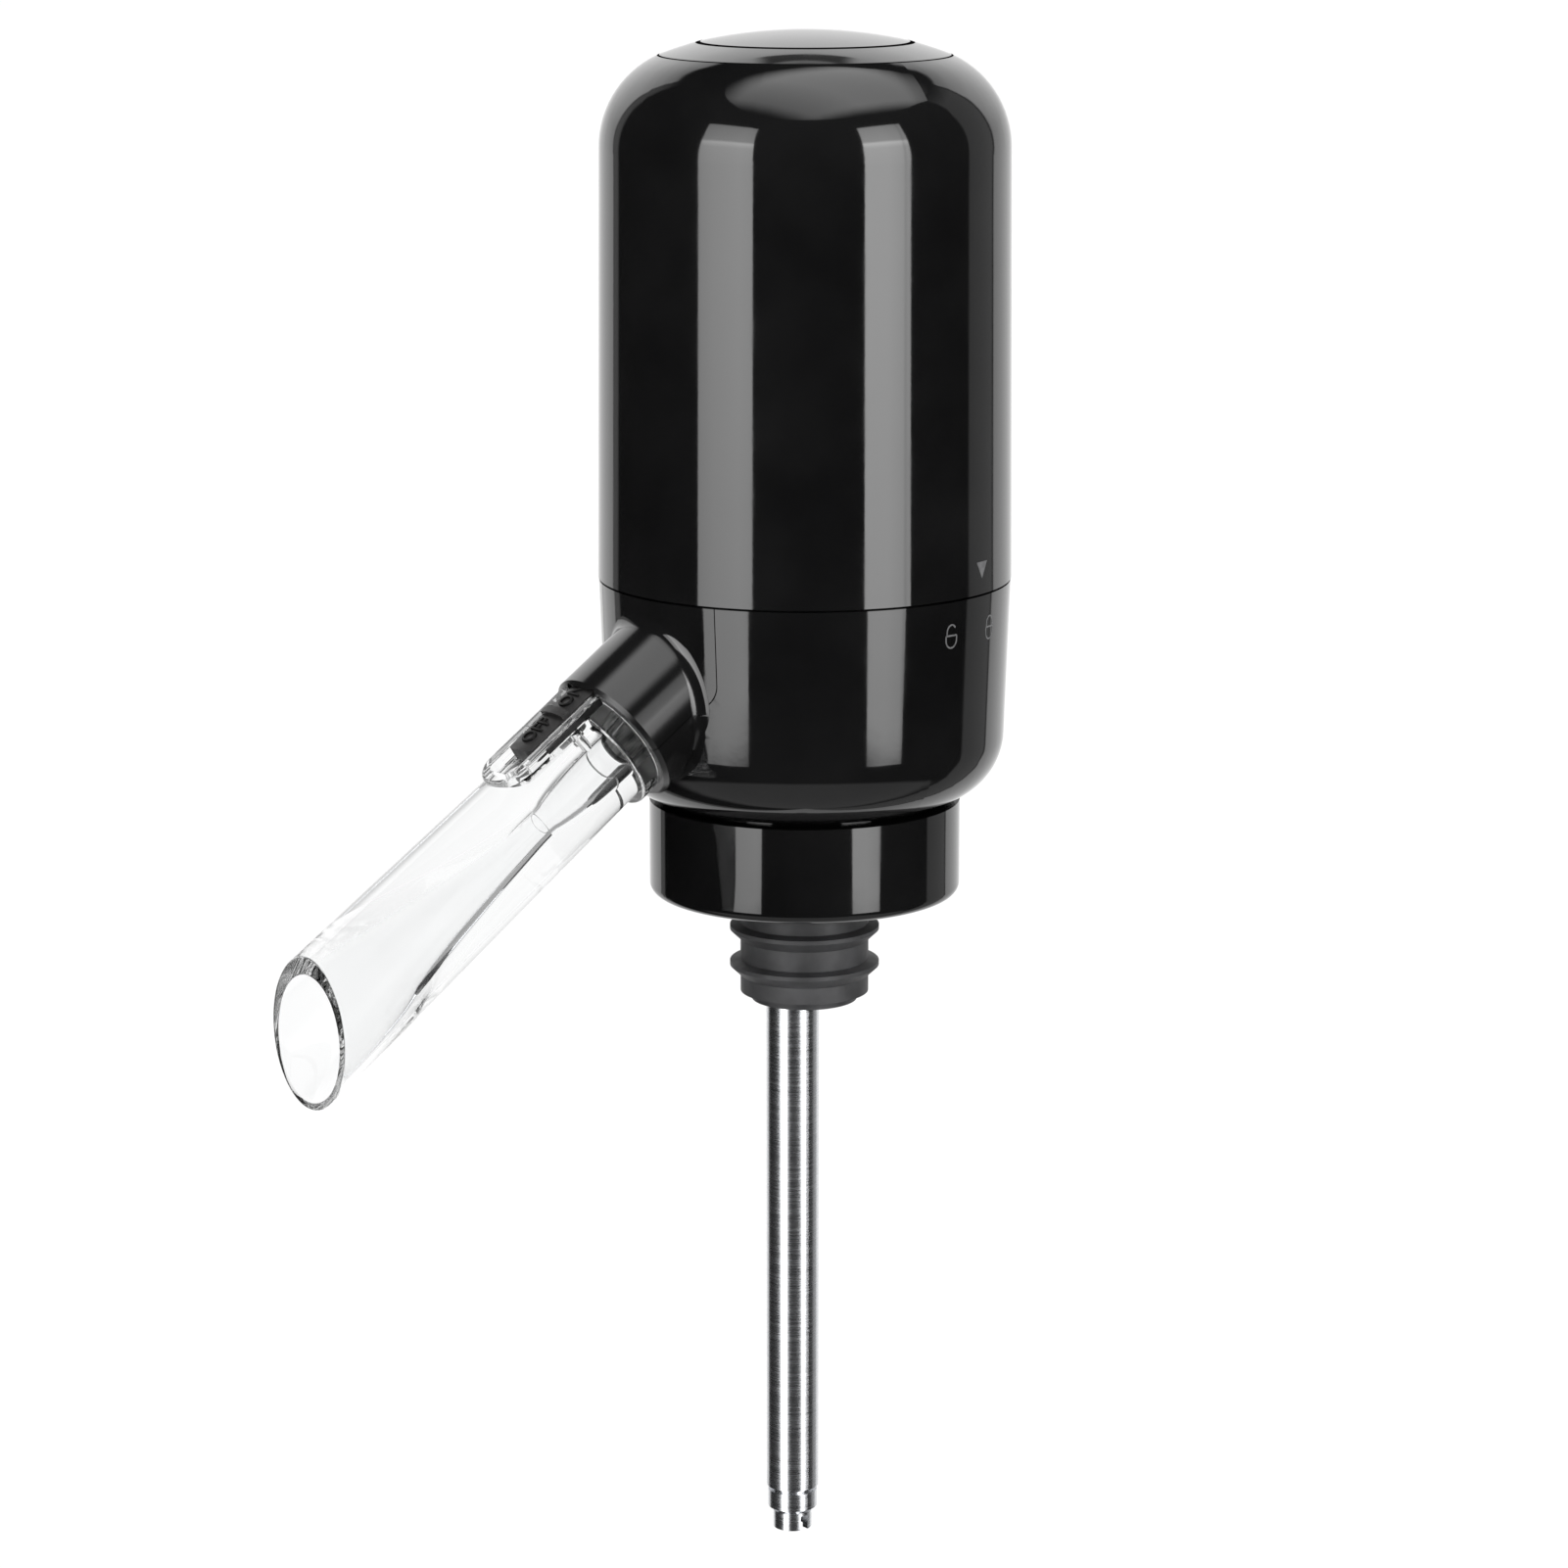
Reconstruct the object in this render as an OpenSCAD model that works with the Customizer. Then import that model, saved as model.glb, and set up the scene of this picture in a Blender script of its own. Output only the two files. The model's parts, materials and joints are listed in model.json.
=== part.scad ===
// Battery powered wine dispenser that stands on the mouth of a wine bottle.
// The origin is the bottle's lip, on the bottle's axis. +Z is up and the spout points to -Y.

/* [Barrel] */
// Diameter of the barrel at the main seam
body_d = 54; // [53:0.5:58]
// Height of the main seam above the bottle's lip
seam_z = 32.8; // [32:0.2:36]
// Straight height of the barrel above the seam
barrel_h = 55.9; // [55:0.1:64]
// Draft of the barrel's side, in degrees
barrel_draft = 0.5; // [0:0.1:0.8]
// Radius of the barrel's shoulder
shoulder_r = 12.8; // [11:0.1:14]
// Wall of the moulded housings
wall = 2.2; // [1.6:0.1:2.4]
// Open line between the barrel and the cup
seam_gap = 0.3; // [0.2:0.05:0.5]

/* [Button and bezel] */
// Diameter of the bezel ring
bezel_d = 37.7; // [36:0.1:39]
// Diameter of the push button
button_d = 27.3; // [24:0.1:29]
// Crown radius of the bezel
crown_r = 53; // [46:1:70]
// Height of the button's dome
button_rise = 1.5; // [1:0.1:2.5]
// Gap round the button
button_gap = 0.3; // [0.2:0.05:0.5]
// Travel of the button
button_travel = 1; // [0.6:0.1:1.2]
// Wire of the button's return spring
spring_wire = 0.5; // [0.3:0.05:0.6]
// Mean radius of the return spring
spring_r = 7; // [5:0.5:9]

/* [Cup] */
// Step in from the barrel to the cup at the main seam
seam_step = 0.1; // [0:0.05:0.5]
// How far the cup's side leans in on its way down to the bottom round
cup_lean = 0.8; // [0.4:0.1:1.2]
// Height of the cup
cup_h = 29.1; // [28.4:0.1:30]
// Radius of the cup's bottom edge
cup_round = 9; // [7:0.1:10]

/* [Collar and stopper] */
// Diameter of the collar
collar_d = 41; // [40:0.5:46]
// Height of the collar
collar_h = 12.6; // [11:0.1:16]
// Radius of the collar's lower edge
collar_round = 1.35; // [0.5:0.05:1.6]
// Open groove between the cup and the collar
collar_groove = 0.3; // [0.3:0.1:1]
// Bore of the collar, which clears the bottle's finish
finish_d = 31.6; // [30:0.1:33]
// Diameter of the stopper's ribs, which grip in the bottle's mouth
stopper_rib_d = 19.8; // [18.8:0.1:21]
// Diameter of the stem inside the stopper
stem_d = 14; // [13.6:0.1:14.6]
// Depth of the stem below the bottle's lip
stem_depth = 24; // [20:0.5:30]
// Number of ribs on the stopper
stopper_ribs = 4; // [2:1:6]
// Thickness of the stopper's flange on the lip
lip_flange_t = 1.2; // [0.8:0.1:1.4]

/* [Spout] */
// Slope of the spout below the horizontal, in degrees
spout_slope = 33.6; // [32:0.2:35]
// How far below the main seam the spout's axis crosses the body's side
spout_drop = 14.54; // [13.6:0.02:15.4]
// Outer diameter of the boss that holds the spout
boss_d = 19; // [18.6:0.1:20]
// How far the boss runs out along the spout's axis beyond the body's radius
boss_stand = 11.1; // [10.4:0.1:13]
// Distance from the barrel's side to the plane of the spout's mouth
mouth_stand = 51.3; // [44:0.1:60]
// Diameter of the clear spout beside its collar
spout_d = 14.5; // [14:0.1:15]
// Diameter of the clear spout at its mouth
mouth_d = 16.1; // [15:0.1:17]
// Wall of the spout at its mouth, halfway up
mouth_wall = 1.15; // [1:0.05:1.6]
// How far the bore lies below the spout's axis
bore_drop = 0.5; // [0.2:0.1:0.6]
// Diameter of the venturi's throat
throat_d = 2.8; // [2.4:0.1:4]
// Diameter of the spout's inlet bore
inlet_d = 5.2; // [4.8:0.1:6]
// Half width of the saddle that closes the cup over the spout
saddle_half_w = 11.9; // [10.8:0.1:13]
// Fine line between the saddle and the cup
saddle_gap = 0.12; // [0.08:0.01:0.2]
// Radius of the saddle's lower corners
saddle_round = 2; // [1:0.1:3]

/* [Air switch] */
// Width of the slider
slider_w = 4.5; // [4.2:0.1:5.2]
// Length of the slider that shows beyond the boss
slider_show = 11.8; // [11:0.1:13]
// Travel of the slider
slider_travel = 3.4; // [2.4:0.1:3.6]
// Wall of the rail round the slider
rail_wall = 1.8; // [1.4:0.1:2]
// Height of the rail's top above the spout's axis
rail_top = 8.2; // [8:0.1:8.5]
// Sliding clearance of the slider
slider_gap = 0.1; // [0.06:0.02:0.16]

/* [Bayonet] */
// Number of lugs inside the barrel
lug_count = 3; // [2:1:4]
// Width of a lug, in degrees
lug_angle = 10; // [6:1:14]
// Turn from rest to the locked stop, in degrees
lock_turn = 4.6; // [2:0.2:8]
// Turn from rest to the open stop, in degrees
unlock_turn = 13.3; // [8:0.1:20]

/* [Pump and batteries] */
// Gap between the cells and the barrel's wall
cell_side_gap = 1.35; // [1:0.05:1.6]
// Height of the barrel beyond the length of the motor
motor_spare = 29.9; // [28:0.1:32]
// Diameter of the motor's shaft
shaft_d = 2; // [1.5:0.1:3]
// Diameter of a battery cell
cell_d = 10.5; // [10:0.1:10.6]
// Height of the barrel beyond the length of a cell
cell_spare = 11.4; // [11:0.1:12.6]
// Number of battery cells round the motor
cell_count = 4; // [3:1:4]

/* [Dip tube] */
// Outer diameter of the upper tube
tube_d = 7; // [6.4:0.1:7.4]
// Wall of the tubes
tube_wall = 0.4; // [0.3:0.05:0.5]
// Sliding clearance between the tubes
tube_gap = 0.06; // [0.04:0.01:0.1]
// Reach of the upper tube below the bottle's lip
tube_reach = 92; // [70:1:110]
// Length of the guide bead at a tube's top
bead_l = 4; // [3:0.5:6]
// Height of the grip ring at a tube's lower end
grip_h = 2.4; // [1.6:0.1:4]

/* [Hidden] */
$fn = 96;
eps = 0.01;
fit_gap = 0.1;
clear_gap = 0.2;

// Barrel, bezel and button
body_r = body_d / 2;
barrel_top_r = body_r - barrel_h * tan(barrel_draft);
shoulder_c = barrel_top_r - shoulder_r;
bezel_r = bezel_d / 2;
bezel_edge_z = barrel_h + sqrt(pow(shoulder_r, 2) - pow(bezel_r - shoulder_c, 2));
crown_c = bezel_edge_z - sqrt(pow(crown_r, 2) - pow(bezel_r, 2));
button_r = button_d / 2;
button_edge_z = crown_c + sqrt(pow(crown_r, 2) - pow(button_r, 2));
button_top_z = button_edge_z + button_rise;
dome_r = (pow(button_r, 2) + pow(button_rise, 2)) / (2 * button_rise);
bezel_line = 0.12;
bezel_seat_t = 1.6;
ceiling_t = 1.8;
bezel_seat_z = bezel_edge_z - bezel_seat_t;
ceiling_z = bezel_seat_z - ceiling_t;
bezel_ledge_w = 2.2;
throat_r = bezel_r - bezel_ledge_w;
guide_t = 1.4;
button_top_t = 2;
button_skirt_t = 1.6;
button_under_z = button_edge_z - button_top_t;
button_skirt_l = 0.8;
spring_h = 2.8;
guide_top_z = button_under_z - spring_h;
guide_z = guide_top_z - guide_t;
button_stem_r = 3;
run_gap = 0.06;
spring_turns = 2.5;

// Tact switch and board
plunger_r = 1.75;
plunger_l = 1.8;
stem_drop = 0.4;
stem_tip_z = guide_z - stem_drop;
switch_w = 6.2;
switch_h = 3.4;
switch_top_z = stem_tip_z - button_travel - clear_gap;
board_t = 1.6;
board_r = 15;
board_z = switch_top_z - switch_h - board_t;
chip_x = 6;
chip_w = 4;
chip_l = 5;
chip_h = 1.5;
plug_x = 8;
plug_w = 3;
plug_l = 8;
plug_h = 2;
can_x = 6;
can_y = 9;
can_r = 1.8;
can_h = 2.4;

// Deck and bayonet
deck_z = 0.6;
deck_t = 1.8;
deck_top_z = deck_z + deck_t;
deck_ring_r = body_r - wall - 0.7;
deck_ring_t = 1.9;
deck_ring_in = deck_ring_r - deck_ring_t;
deck_ring_low = -3;
deck_ring_top = 6.5;
gasket_t = 0.6;
ledge_z = deck_ring_low - gasket_t;
ledge_t = 2.4;
lug_h = 2.2;
lug_z = deck_top_z + 0.3;
lug_gap = 0.3;
lug_slack = 1;
lug_tip_r = deck_ring_in + 0.5;
lug_start = 90;
post_r = 2.8;
post_inset = 7.8;
post_ring_r = body_r - post_inset;
post_angles = [20, 90, 160];
deck_pilot_r = 0.9;
deck_screw_r = 1.3;
screw_head_r = 2.3;
screw_head_h = 1.6;
deck_pilot_l = 9;
deck_screw_l = deck_pilot_l + deck_t - 1;

// Cup
cup_top_r = body_r - seam_step;
cup_low_r = body_r - cup_lean;
cup_round_c = cup_low_r - cup_round;
cup_round_z = cup_round - cup_h;
floor_t = wall;
cup_bottom_z = seam_z - cup_h;

// Collar, stem and stopper
collar_r = collar_d / 2;
collar_top_z = cup_bottom_z - collar_groove;
collar_low_z = collar_top_z - collar_h;
collar_skin = 1.9;
guide_ring_t = 1.2;
finish_r = finish_d / 2;
collar_rib_n = 12;
collar_rib_t = 1.2;
guide_ring_low = 2;
neck_r = cup_round_c;
stem_r = stem_d / 2;
stem_flange_t = 1.3;
stem_flange_z = cup_bottom_z - stem_flange_t;
web_z = lip_flange_t;
tower_r = 8.8;
tower_h = 4.3;
tower_top_z = cup_bottom_z + tower_h;
screw_floor_gap = 0.2;
collar_screw_r = 1;
collar_head_r = 2;
collar_screw_ring = cup_round_c - collar_head_r - screw_floor_gap;
flange_screw_gap = 1;
stem_flange_r = collar_screw_ring - collar_screw_r - flange_screw_gap;
collar_screw_n = 3;
collar_screw_start = 55;
collar_screw_tip = web_z + 0.3;
sleeve_t = 1.5;
rib_h = 2.2;
wine_y = -2;
air_y = 4.9;
air_r = 1.2;
socket_depth = 4;
socket_floor_z = tower_top_z - socket_depth;

// Wine elbow
spout_rise = body_r * tan(spout_slope) - spout_drop;
elbow_r = 4.2;
elbow_bore_r = 2.6;
elbow_bend_r = 8;
elbow_c = elbow_bend_r - wine_y;
elbow_turn = 90 + spout_slope;
elbow_end_rho = elbow_c + elbow_bend_r * sin(spout_slope);
elbow_end_z = spout_rise - elbow_end_rho * tan(spout_slope);
elbow_cz = elbow_end_z - elbow_bend_r * cos(spout_slope);
elbow_end_u = elbow_end_rho / cos(spout_slope);
elbow_flange_r = 6.5;
elbow_flange_t = 1.7;
elbow_foot_z = socket_floor_z + fit_gap;
riser_rim = 0.8;
riser_rim_h = 2.4;
seal_wire_r = 0.43;
seal_z = tower_top_z - 2;
elbow_seal_r = elbow_r - seal_wire_r + 0.08;

// Spout and boss
boss_r = boss_d / 2;
spout_sink = 1.8;
spout_in = body_r - spout_sink;
flange_pocket = 1.7;
saddle_depth = 12;
boss_end = body_r + boss_stand;
boss_start = spout_in - flange_pocket;
saddle_start = body_r - saddle_depth;
boss_bevel = 0.5;
mouth_reach = body_r + mouth_stand;
spout_flange_t = 1.9;
spout_flange_r = 8.3;
flange_bore_r = spout_flange_r + fit_gap;
spout_r = spout_d / 2;
boss_bore_r = spout_r + fit_gap;
mouth_r = mouth_d / 2;
mouth_u = mouth_reach / cos(spout_slope);
spout_far_u = mouth_u + 12;
flare_end_u = mouth_u - mouth_r * tan(spout_slope) - 1;
spout_ring_gap = 0.2;
spout_ring_l = 2.8;
spout_ring_r = spout_r + 0.9;
spout_ring_u = boss_end + spout_ring_gap;
spout_tube_u = spout_ring_u + spout_ring_l;
converge_l = 13.8;
throat_stand = 14.7;
throat_u = boss_end + throat_stand;
converge_u = throat_u - converge_l;
throat_l = 1;
throat_step = 0.15;
waist_part = 0.5;
waist_spread = 0.34;
face_seal_wire_r = 0.58;
face_seal_r = 5;
elbow_flange_u = spout_in - 0.5 - elbow_flange_t;

// Rail and slider
rail_r = slider_w / 2 + slider_gap + rail_wall;
slider_in = 2.5;
slider_start = boss_end - slider_in;
slider_end = boss_end + slider_show;
slot_r = slider_w / 2 + slider_gap;
slider_round = 0.8;
slot_round = 1.2;
slot_play = 0.6;
slot_end = slider_end + slider_travel + slot_play;
rail_end = slot_end + rail_wall;
slot_floor = 6.6;
slider_under = slot_floor + slider_gap;
slider_lip = 0.45;
slider_lip_h = 0.6;
slider_lip_end = slider_end - 2;
slider_proud = 0.45;
slider_top = rail_top + slider_proud;
slider_crown_r = 9;
ridge_w = 1.2;
ridge_h = 0.6;
ridge_stand = 4.7;
ridge_u = boss_end + ridge_stand;
slider_pocket_l = 4;
slider_pocket_top = slider_top + clear_gap;
air_hole_r = 0.7;
air_hole_stand = 4.3;
air_hole_u = boss_end + air_hole_stand;
seal_pad_r = 1.2;
seal_pad_h = 1.2;
seal_channel_gap = 0.35;

// Pump and motor
cell_r = cell_d / 2;
cell_ring_r = body_r - wall - cell_side_gap - cell_r;
pump_side_gap = 0.55;
pump_r = cell_ring_r - cell_r - pump_side_gap;
motor_skin_gap = 0.4;
motor_r = pump_r - motor_skin_gap;
motor_l = barrel_h - motor_spare;
pump_head_h = 6;
nozzle_r = 1.4;
nozzle_bore_r = 0.8;
nozzle_l = 4.4;
diaphragm_t = 0.8;
diaphragm_cup_r = pump_r * 0.26;
diaphragm_tip_r = diaphragm_cup_r * 0.75;
diaphragm_cup_h = 3;
diaphragm_cup_ring = pump_r * 0.48;
pump_lobes = 3;
swash_t = 1.4;
swash_hub_r = 4;
swash_hub_h = 2.2;
swash_hole_r = 2.7;
swash_hole_floor = 0.3;
case_t = 1.3;
case_h = 12.8;
diaphragm_z = deck_top_z + pump_head_h;
case_z = diaphragm_z + diaphragm_t;
swash_z = case_z + diaphragm_cup_h;
motor_z = case_z + case_h;
motor_boss_r = 3;
motor_boss_h = 1.4;
shaft_r = shaft_d / 2;
shaft_in = 9;
crank_r = 4;
crank_h = 2.6;
crank_pin_r = 0.8;
crank_throw = 1.4;
crank_pin_l = 2;
crank_z = swash_z + swash_t + swash_hub_h + 0.6;
motor_top_z = motor_z + motor_l;
tab_l = 3.5;
tab_x = 7;
tab_w = 2;
tab_t = 0.5;
lead_r = 0.7;
lead_z = motor_top_z + 1;

// Batteries
cradle_plate_t = 2.2;
cell_l = barrel_h - cell_spare;
cell_z = deck_ring_top + 0.6;
nub_r = 1.9;
nub_h = 1;
contact_t = 0.4;
cell_top_z = cell_z + cell_l + nub_h;
cradle_top_z = cell_top_z + contact_t;
cradle_top_t = 1.8;
cradle_in_r = pump_r + 0.3;
cradle_low_r = deck_ring_in - clear_gap;
cradle_r = cell_ring_r + cell_r + 0.1;
cradle_hole_r = 9;
cradle_post_w = 9;
cradle_post_l = cradle_low_r - cradle_in_r - 1;
cell_gap = 0.2;
cell_start = 45;
screw_pocket_h = screw_head_h + 0.4;
standoff_r = 2;
standoff_ring = 11.5;
standoff_n = 3;
standoff_start = 30;
battery_spring_wire = 0.5;
battery_spring_turns = 3;
battery_spring_r0 = 3.2;
battery_spring_r1 = 2;
plate_w = 7;

// Dip tube
tube_lip_h = 2;
tube_stop = 3;
tube_top_z = socket_floor_z - tube_stop;
upper_r = tube_d / 2;
upper_bore = upper_r - tube_wall - 0.1;
middle_bead_r = upper_bore - tube_gap;
tube_lip = 0.24;
middle_r = middle_bead_r - tube_lip;
middle_bore = middle_r - tube_wall;
lower_bead_r = middle_bore - tube_gap;
lower_r = lower_bead_r - tube_lip;
lower_bore = lower_r - tube_wall;
tube_step = 3;
tube_drop = 2.75;
grip_rim = 0.6;
inlet_slot_w = 1.2;
inlet_slot_h = 2;

// Places

module at_seam() {
    translate([0, 0, seam_z]) children();
}

// Local z runs outward along the spout, local y is up across it
module spout_frame() {
    translate([0, 0, seam_z + spout_rise]) rotate([90 + spout_slope, 0, 0]) children();
}

// A round bar along the spout's axis, whose start line lies underneath
module spout_bar(u0, u1, r0, r1) {
    translate([0, 0, u0]) rotate([0, 0, -90]) cylinder(h = u1 - u0, r1 = r0, r2 = r1);
}

// A flat outline of x and distance along the spout, raised from v0 to v1 above the spout's axis
module across_spout(v0, v1) {
    translate([0, v0, 0]) rotate([-90, 0, 0]) linear_extrude(v1 - v0) mirror([0, 1]) children();
}

module at_cells() {
    for (i = [0 : cell_count - 1]) {
        rotate([0, 0, cell_start + i * 360 / cell_count]) translate([cell_ring_r, 0, 0]) children();
    }
}

module at_posts() {
    for (a = post_angles) {
        rotate([0, 0, a]) translate([post_ring_r, 0, 0]) children();
    }
}

module ring(r_in, r_out, z0, z1) {
    translate([r_in, z0]) square([r_out - r_in, z1 - z0]);
}

module o_ring(r, wire_r) {
    rotate_extrude() translate([r, 0]) circle(wire_r, $fn = 32);
}

// A closed round wire along a list of points, with the given side directions
module wire_along(points, sides, r) {
    n = len(points);
    k = 6;
    corners = [for (i = [0 : n - 1], j = [0 : k - 1])
        points[i] + r * (cos(j * 360 / k) * sides[i] + sin(j * 360 / k) * [0, 0, 1])];
    skin = [for (i = [0 : n - 2], j = [0 : k - 1])
        let (a = i * k + j, b = i * k + (j + 1) % k)
        each [[a, b, b + k], [a, b + k, a + k]]];
    last = (n - 1) * k;
    ends = [for (j = [1 : k - 2]) each [[0, j + 1, j], [last, last + j, last + j + 1]]];
    polyhedron(corners, concat(skin, ends), convexity = 10);
}

// A coil spring from z0 to z1 whose radius runs from r0 to r1
module coil(r0, r1, z0, z1, wire_r, turns) {
    steps = round(turns * 24);
    flat = 0.5;
    function rise(t) = max(0, min(1, (t * turns - flat) / (turns - 2 * flat)));
    points = [for (i = [0 : steps])
        let (t = i / steps, a = 360 * turns * t, r = r0 + (r1 - r0) * t)
        [r * cos(a), r * sin(a), z0 + wire_r + (z1 - z0 - 2 * wire_r) * rise(t)]];
    sides = [for (i = [0 : steps]) let (a = 360 * turns * i / steps) [cos(a), sin(a), 0]];
    wire_along(points, sides, wire_r);
}

module screw(head_r, head_h, r, l) {
    slot_w = 0.5;
    slot_l = head_r * 1.2;
    difference() {
        cylinder(h = head_h, r = head_r, $fn = 32);
        for (a = [0, 90]) {
            rotate([0, 0, a]) translate([-slot_l / 2, -slot_w / 2, head_h / 2])
                cube([slot_l, slot_w, head_h]);
        }
    }
    translate([0, 0, -l]) cylinder(h = l, r = r, $fn = 32);
}

// Barrel

module barrel_outline(inset) {
    polygon([[0, 0], [body_r - inset, 0], [barrel_top_r - inset, barrel_h], [0, barrel_h]]);
    intersection() {
        translate([shoulder_c, barrel_h]) circle(shoulder_r - inset);
        translate([shoulder_c, barrel_h]) square(shoulder_r);
    }
    translate([0, barrel_h - eps]) square([shoulder_c + eps, shoulder_r - inset + eps]);
}

module upper_housing() {
    color("#141416") at_seam() {
        rotate_extrude() difference() {
            barrel_outline(0);
            intersection() {
                barrel_outline(wall);
                translate([0, -eps]) square([body_r, ceiling_z + eps]);
            }
            square([2 * body_r, seam_gap]);
            translate([0, bezel_seat_z]) square([bezel_r + bezel_line, shoulder_r]);
            translate([0, ceiling_z - eps]) square([throat_r + fit_gap, shoulder_r]);
        }
        for (i = [0 : lug_count - 1]) {
            rotate([0, 0, lug_start + i * 360 / lug_count - lug_angle / 2])
                rotate_extrude(angle = lug_angle)
                ring(lug_tip_r, body_r - wall + fit_gap, lug_z, lug_z + lug_h);
        }
    }
}

module top_bezel() {
    color("#17171a") at_seam() rotate_extrude() {
        intersection() {
            ring(button_r + button_gap, bezel_r, bezel_seat_z, button_top_z);
            translate([0, crown_c]) circle(crown_r, $fn = 360);
        }
        ring(button_r + button_gap, throat_r, guide_z, bezel_seat_z + eps);
        ring(button_stem_r + run_gap, throat_r, guide_z, guide_top_z);
    }
}

module power_button() {
    color("#17171a") at_seam() rotate_extrude() {
        difference() {
            intersection() {
                ring(0, button_r, button_under_z - button_skirt_l, button_top_z);
                translate([0, button_top_z - dome_r]) circle(dome_r, $fn = 360);
            }
            ring(-eps, button_r - button_skirt_t, button_under_z - 2 * button_skirt_l, button_under_z);
        }
        ring(0, button_stem_r, stem_tip_z, button_under_z + eps);
    }
}

module button_spring() {
    color("silver") at_seam()
        coil(spring_r, spring_r, guide_top_z, button_under_z, spring_wire / 2, spring_turns);
}

module switch_plunger() {
    color("#303034") at_seam() translate([0, 0, stem_tip_z - plunger_l])
        cylinder(h = plunger_l, r = plunger_r);
}

// Cup, saddle and boss

module cup_outline(inset) {
    polygon([
        [0, cup_round_z], [cup_low_r - inset, cup_round_z], [cup_top_r - inset, 0], [0, 0]
    ]);
    intersection() {
        translate([cup_round_c, cup_round_z]) circle(cup_round - inset);
        translate([cup_round_c, cup_round_z - cup_round]) square(cup_round);
    }
    translate([0, inset - cup_h]) square([cup_round_c, cup_round - inset]);
}

module cup_section() {
    difference() {
        cup_outline(0);
        cup_outline(wall);
        ring(-eps, tower_r + fit_gap, -2 * cup_h, 0);
    }
}

module cup_shell() {
    at_seam() rotate_extrude() {
        cup_section();
        polygon([
            [deck_ring_in, ledge_z], [cup_top_r - wall + fit_gap, ledge_z],
            [cup_top_r - wall + fit_gap, ledge_z - 2 * ledge_t],
            [cup_low_r - wall, ledge_z - 2 * ledge_t], [deck_ring_in, ledge_z - ledge_t]
        ]);
    }
}

module boss() {
    spout_frame() {
        spout_bar(boss_start, boss_end - boss_bevel, boss_r, boss_r);
        spout_bar(boss_end - boss_bevel, boss_end, boss_r, boss_r - boss_bevel);
    }
}

module boss_bores() {
    spout_frame() {
        spout_bar(boss_start - 1, boss_end + 1, boss_bore_r, boss_bore_r);
        spout_bar(boss_start - 1, spout_in + spout_flange_t + fit_gap, flange_bore_r, flange_bore_r);
        across_spout(0, slider_pocket_top) translate([0, boss_end - slider_pocket_l])
            translate([-slot_r - slider_lip, 0]) square([2 * (slot_r + slider_lip), 2 * slider_pocket_l]);
    }
    at_seam() translate([0, 0, ledge_z]) cylinder(h = 2 * ledge_t - ledge_z, r = deck_ring_r + clear_gap);
}

// The space of the saddle, with its edges drawn in by the given gap
module saddle_space(gap) {
    w = saddle_half_w - gap;
    spout_frame() translate([0, gap, saddle_start]) linear_extrude(2 * boss_end) {
        translate([-w, saddle_round]) square([2 * w, cup_h]);
        translate([saddle_round - w, 0]) square([2 * (w - saddle_round), saddle_round + eps]);
        for (side = [-1, 1]) {
            translate([side * (w - saddle_round), saddle_round]) circle(saddle_round);
        }
    }
}

module lower_housing() {
    color("#141416") difference() {
        union() {
            cup_shell();
            boss();
            at_posts() translate([0, 0, cup_bottom_z + floor_t - fit_gap])
                cylinder(h = seam_z + deck_z - cup_bottom_z - floor_t + fit_gap, r = post_r);
        }
        boss_bores();
        saddle_space(0);
        at_posts() translate([0, 0, seam_z + deck_z - deck_pilot_l])
            cylinder(h = deck_pilot_l + 1, r = deck_pilot_r);
        at_collar_screws() translate([0, 0, cup_bottom_z - 1])
            cylinder(h = floor_t + 2, r = collar_screw_r);
    }
}

module spout_saddle() {
    color("#141416") difference() {
        intersection() {
            union() {
                at_seam() rotate_extrude() cup_section();
                boss();
            }
            saddle_space(saddle_gap);
        }
        boss_bores();
    }
}

// Collar and stopper

module at_collar_screws() {
    for (i = [0 : collar_screw_n - 1]) {
        rotate([0, 0, collar_screw_start + i * 360 / collar_screw_n])
            translate([collar_screw_ring, 0, 0]) children();
    }
}

module collar_outline() {
    difference() {
        union() {
            ring(0, collar_r - collar_round, collar_low_z, collar_top_z);
            ring(0, collar_r, collar_low_z + collar_round, collar_top_z);
            translate([collar_r - collar_round, collar_low_z + collar_round]) circle(collar_round);
            ring(0, neck_r, collar_top_z - eps, cup_bottom_z);
        }
        ring(-eps, stem_r + fit_gap, collar_low_z, cup_bottom_z + 1);
        ring(-eps, stem_flange_r + fit_gap, stem_flange_z, cup_bottom_z + 1);
        ring(-eps, finish_r, collar_low_z - 1, web_z);
        ring(finish_r + guide_ring_t, collar_r - collar_skin, collar_low_z - 1, web_z);
        ring(-eps, finish_r + guide_ring_t + eps, collar_low_z - 1, collar_low_z + guide_ring_low);
    }
}

module collar() {
    rib_in = finish_r + guide_ring_t / 2;
    rib_low = collar_low_z + guide_ring_low;
    color("#141416") difference() {
        union() {
            rotate_extrude() collar_outline();
            for (i = [0 : collar_rib_n - 1]) {
                rotate([0, 0, i * 360 / collar_rib_n])
                    translate([rib_in, -collar_rib_t / 2, rib_low])
                    cube([collar_r - collar_skin / 2 - rib_in, collar_rib_t, web_z - rib_low + eps]);
            }
        }
        at_collar_screws() translate([0, 0, collar_screw_tip])
            cylinder(h = cup_bottom_z, r = collar_screw_r - fit_gap);
    }
}

module collar_screws() {
    color("silver") at_collar_screws() translate([0, 0, cup_bottom_z + floor_t])
        screw(collar_head_r, screw_head_h, collar_screw_r - fit_gap,
              cup_bottom_z + floor_t - collar_screw_tip);
}

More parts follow.
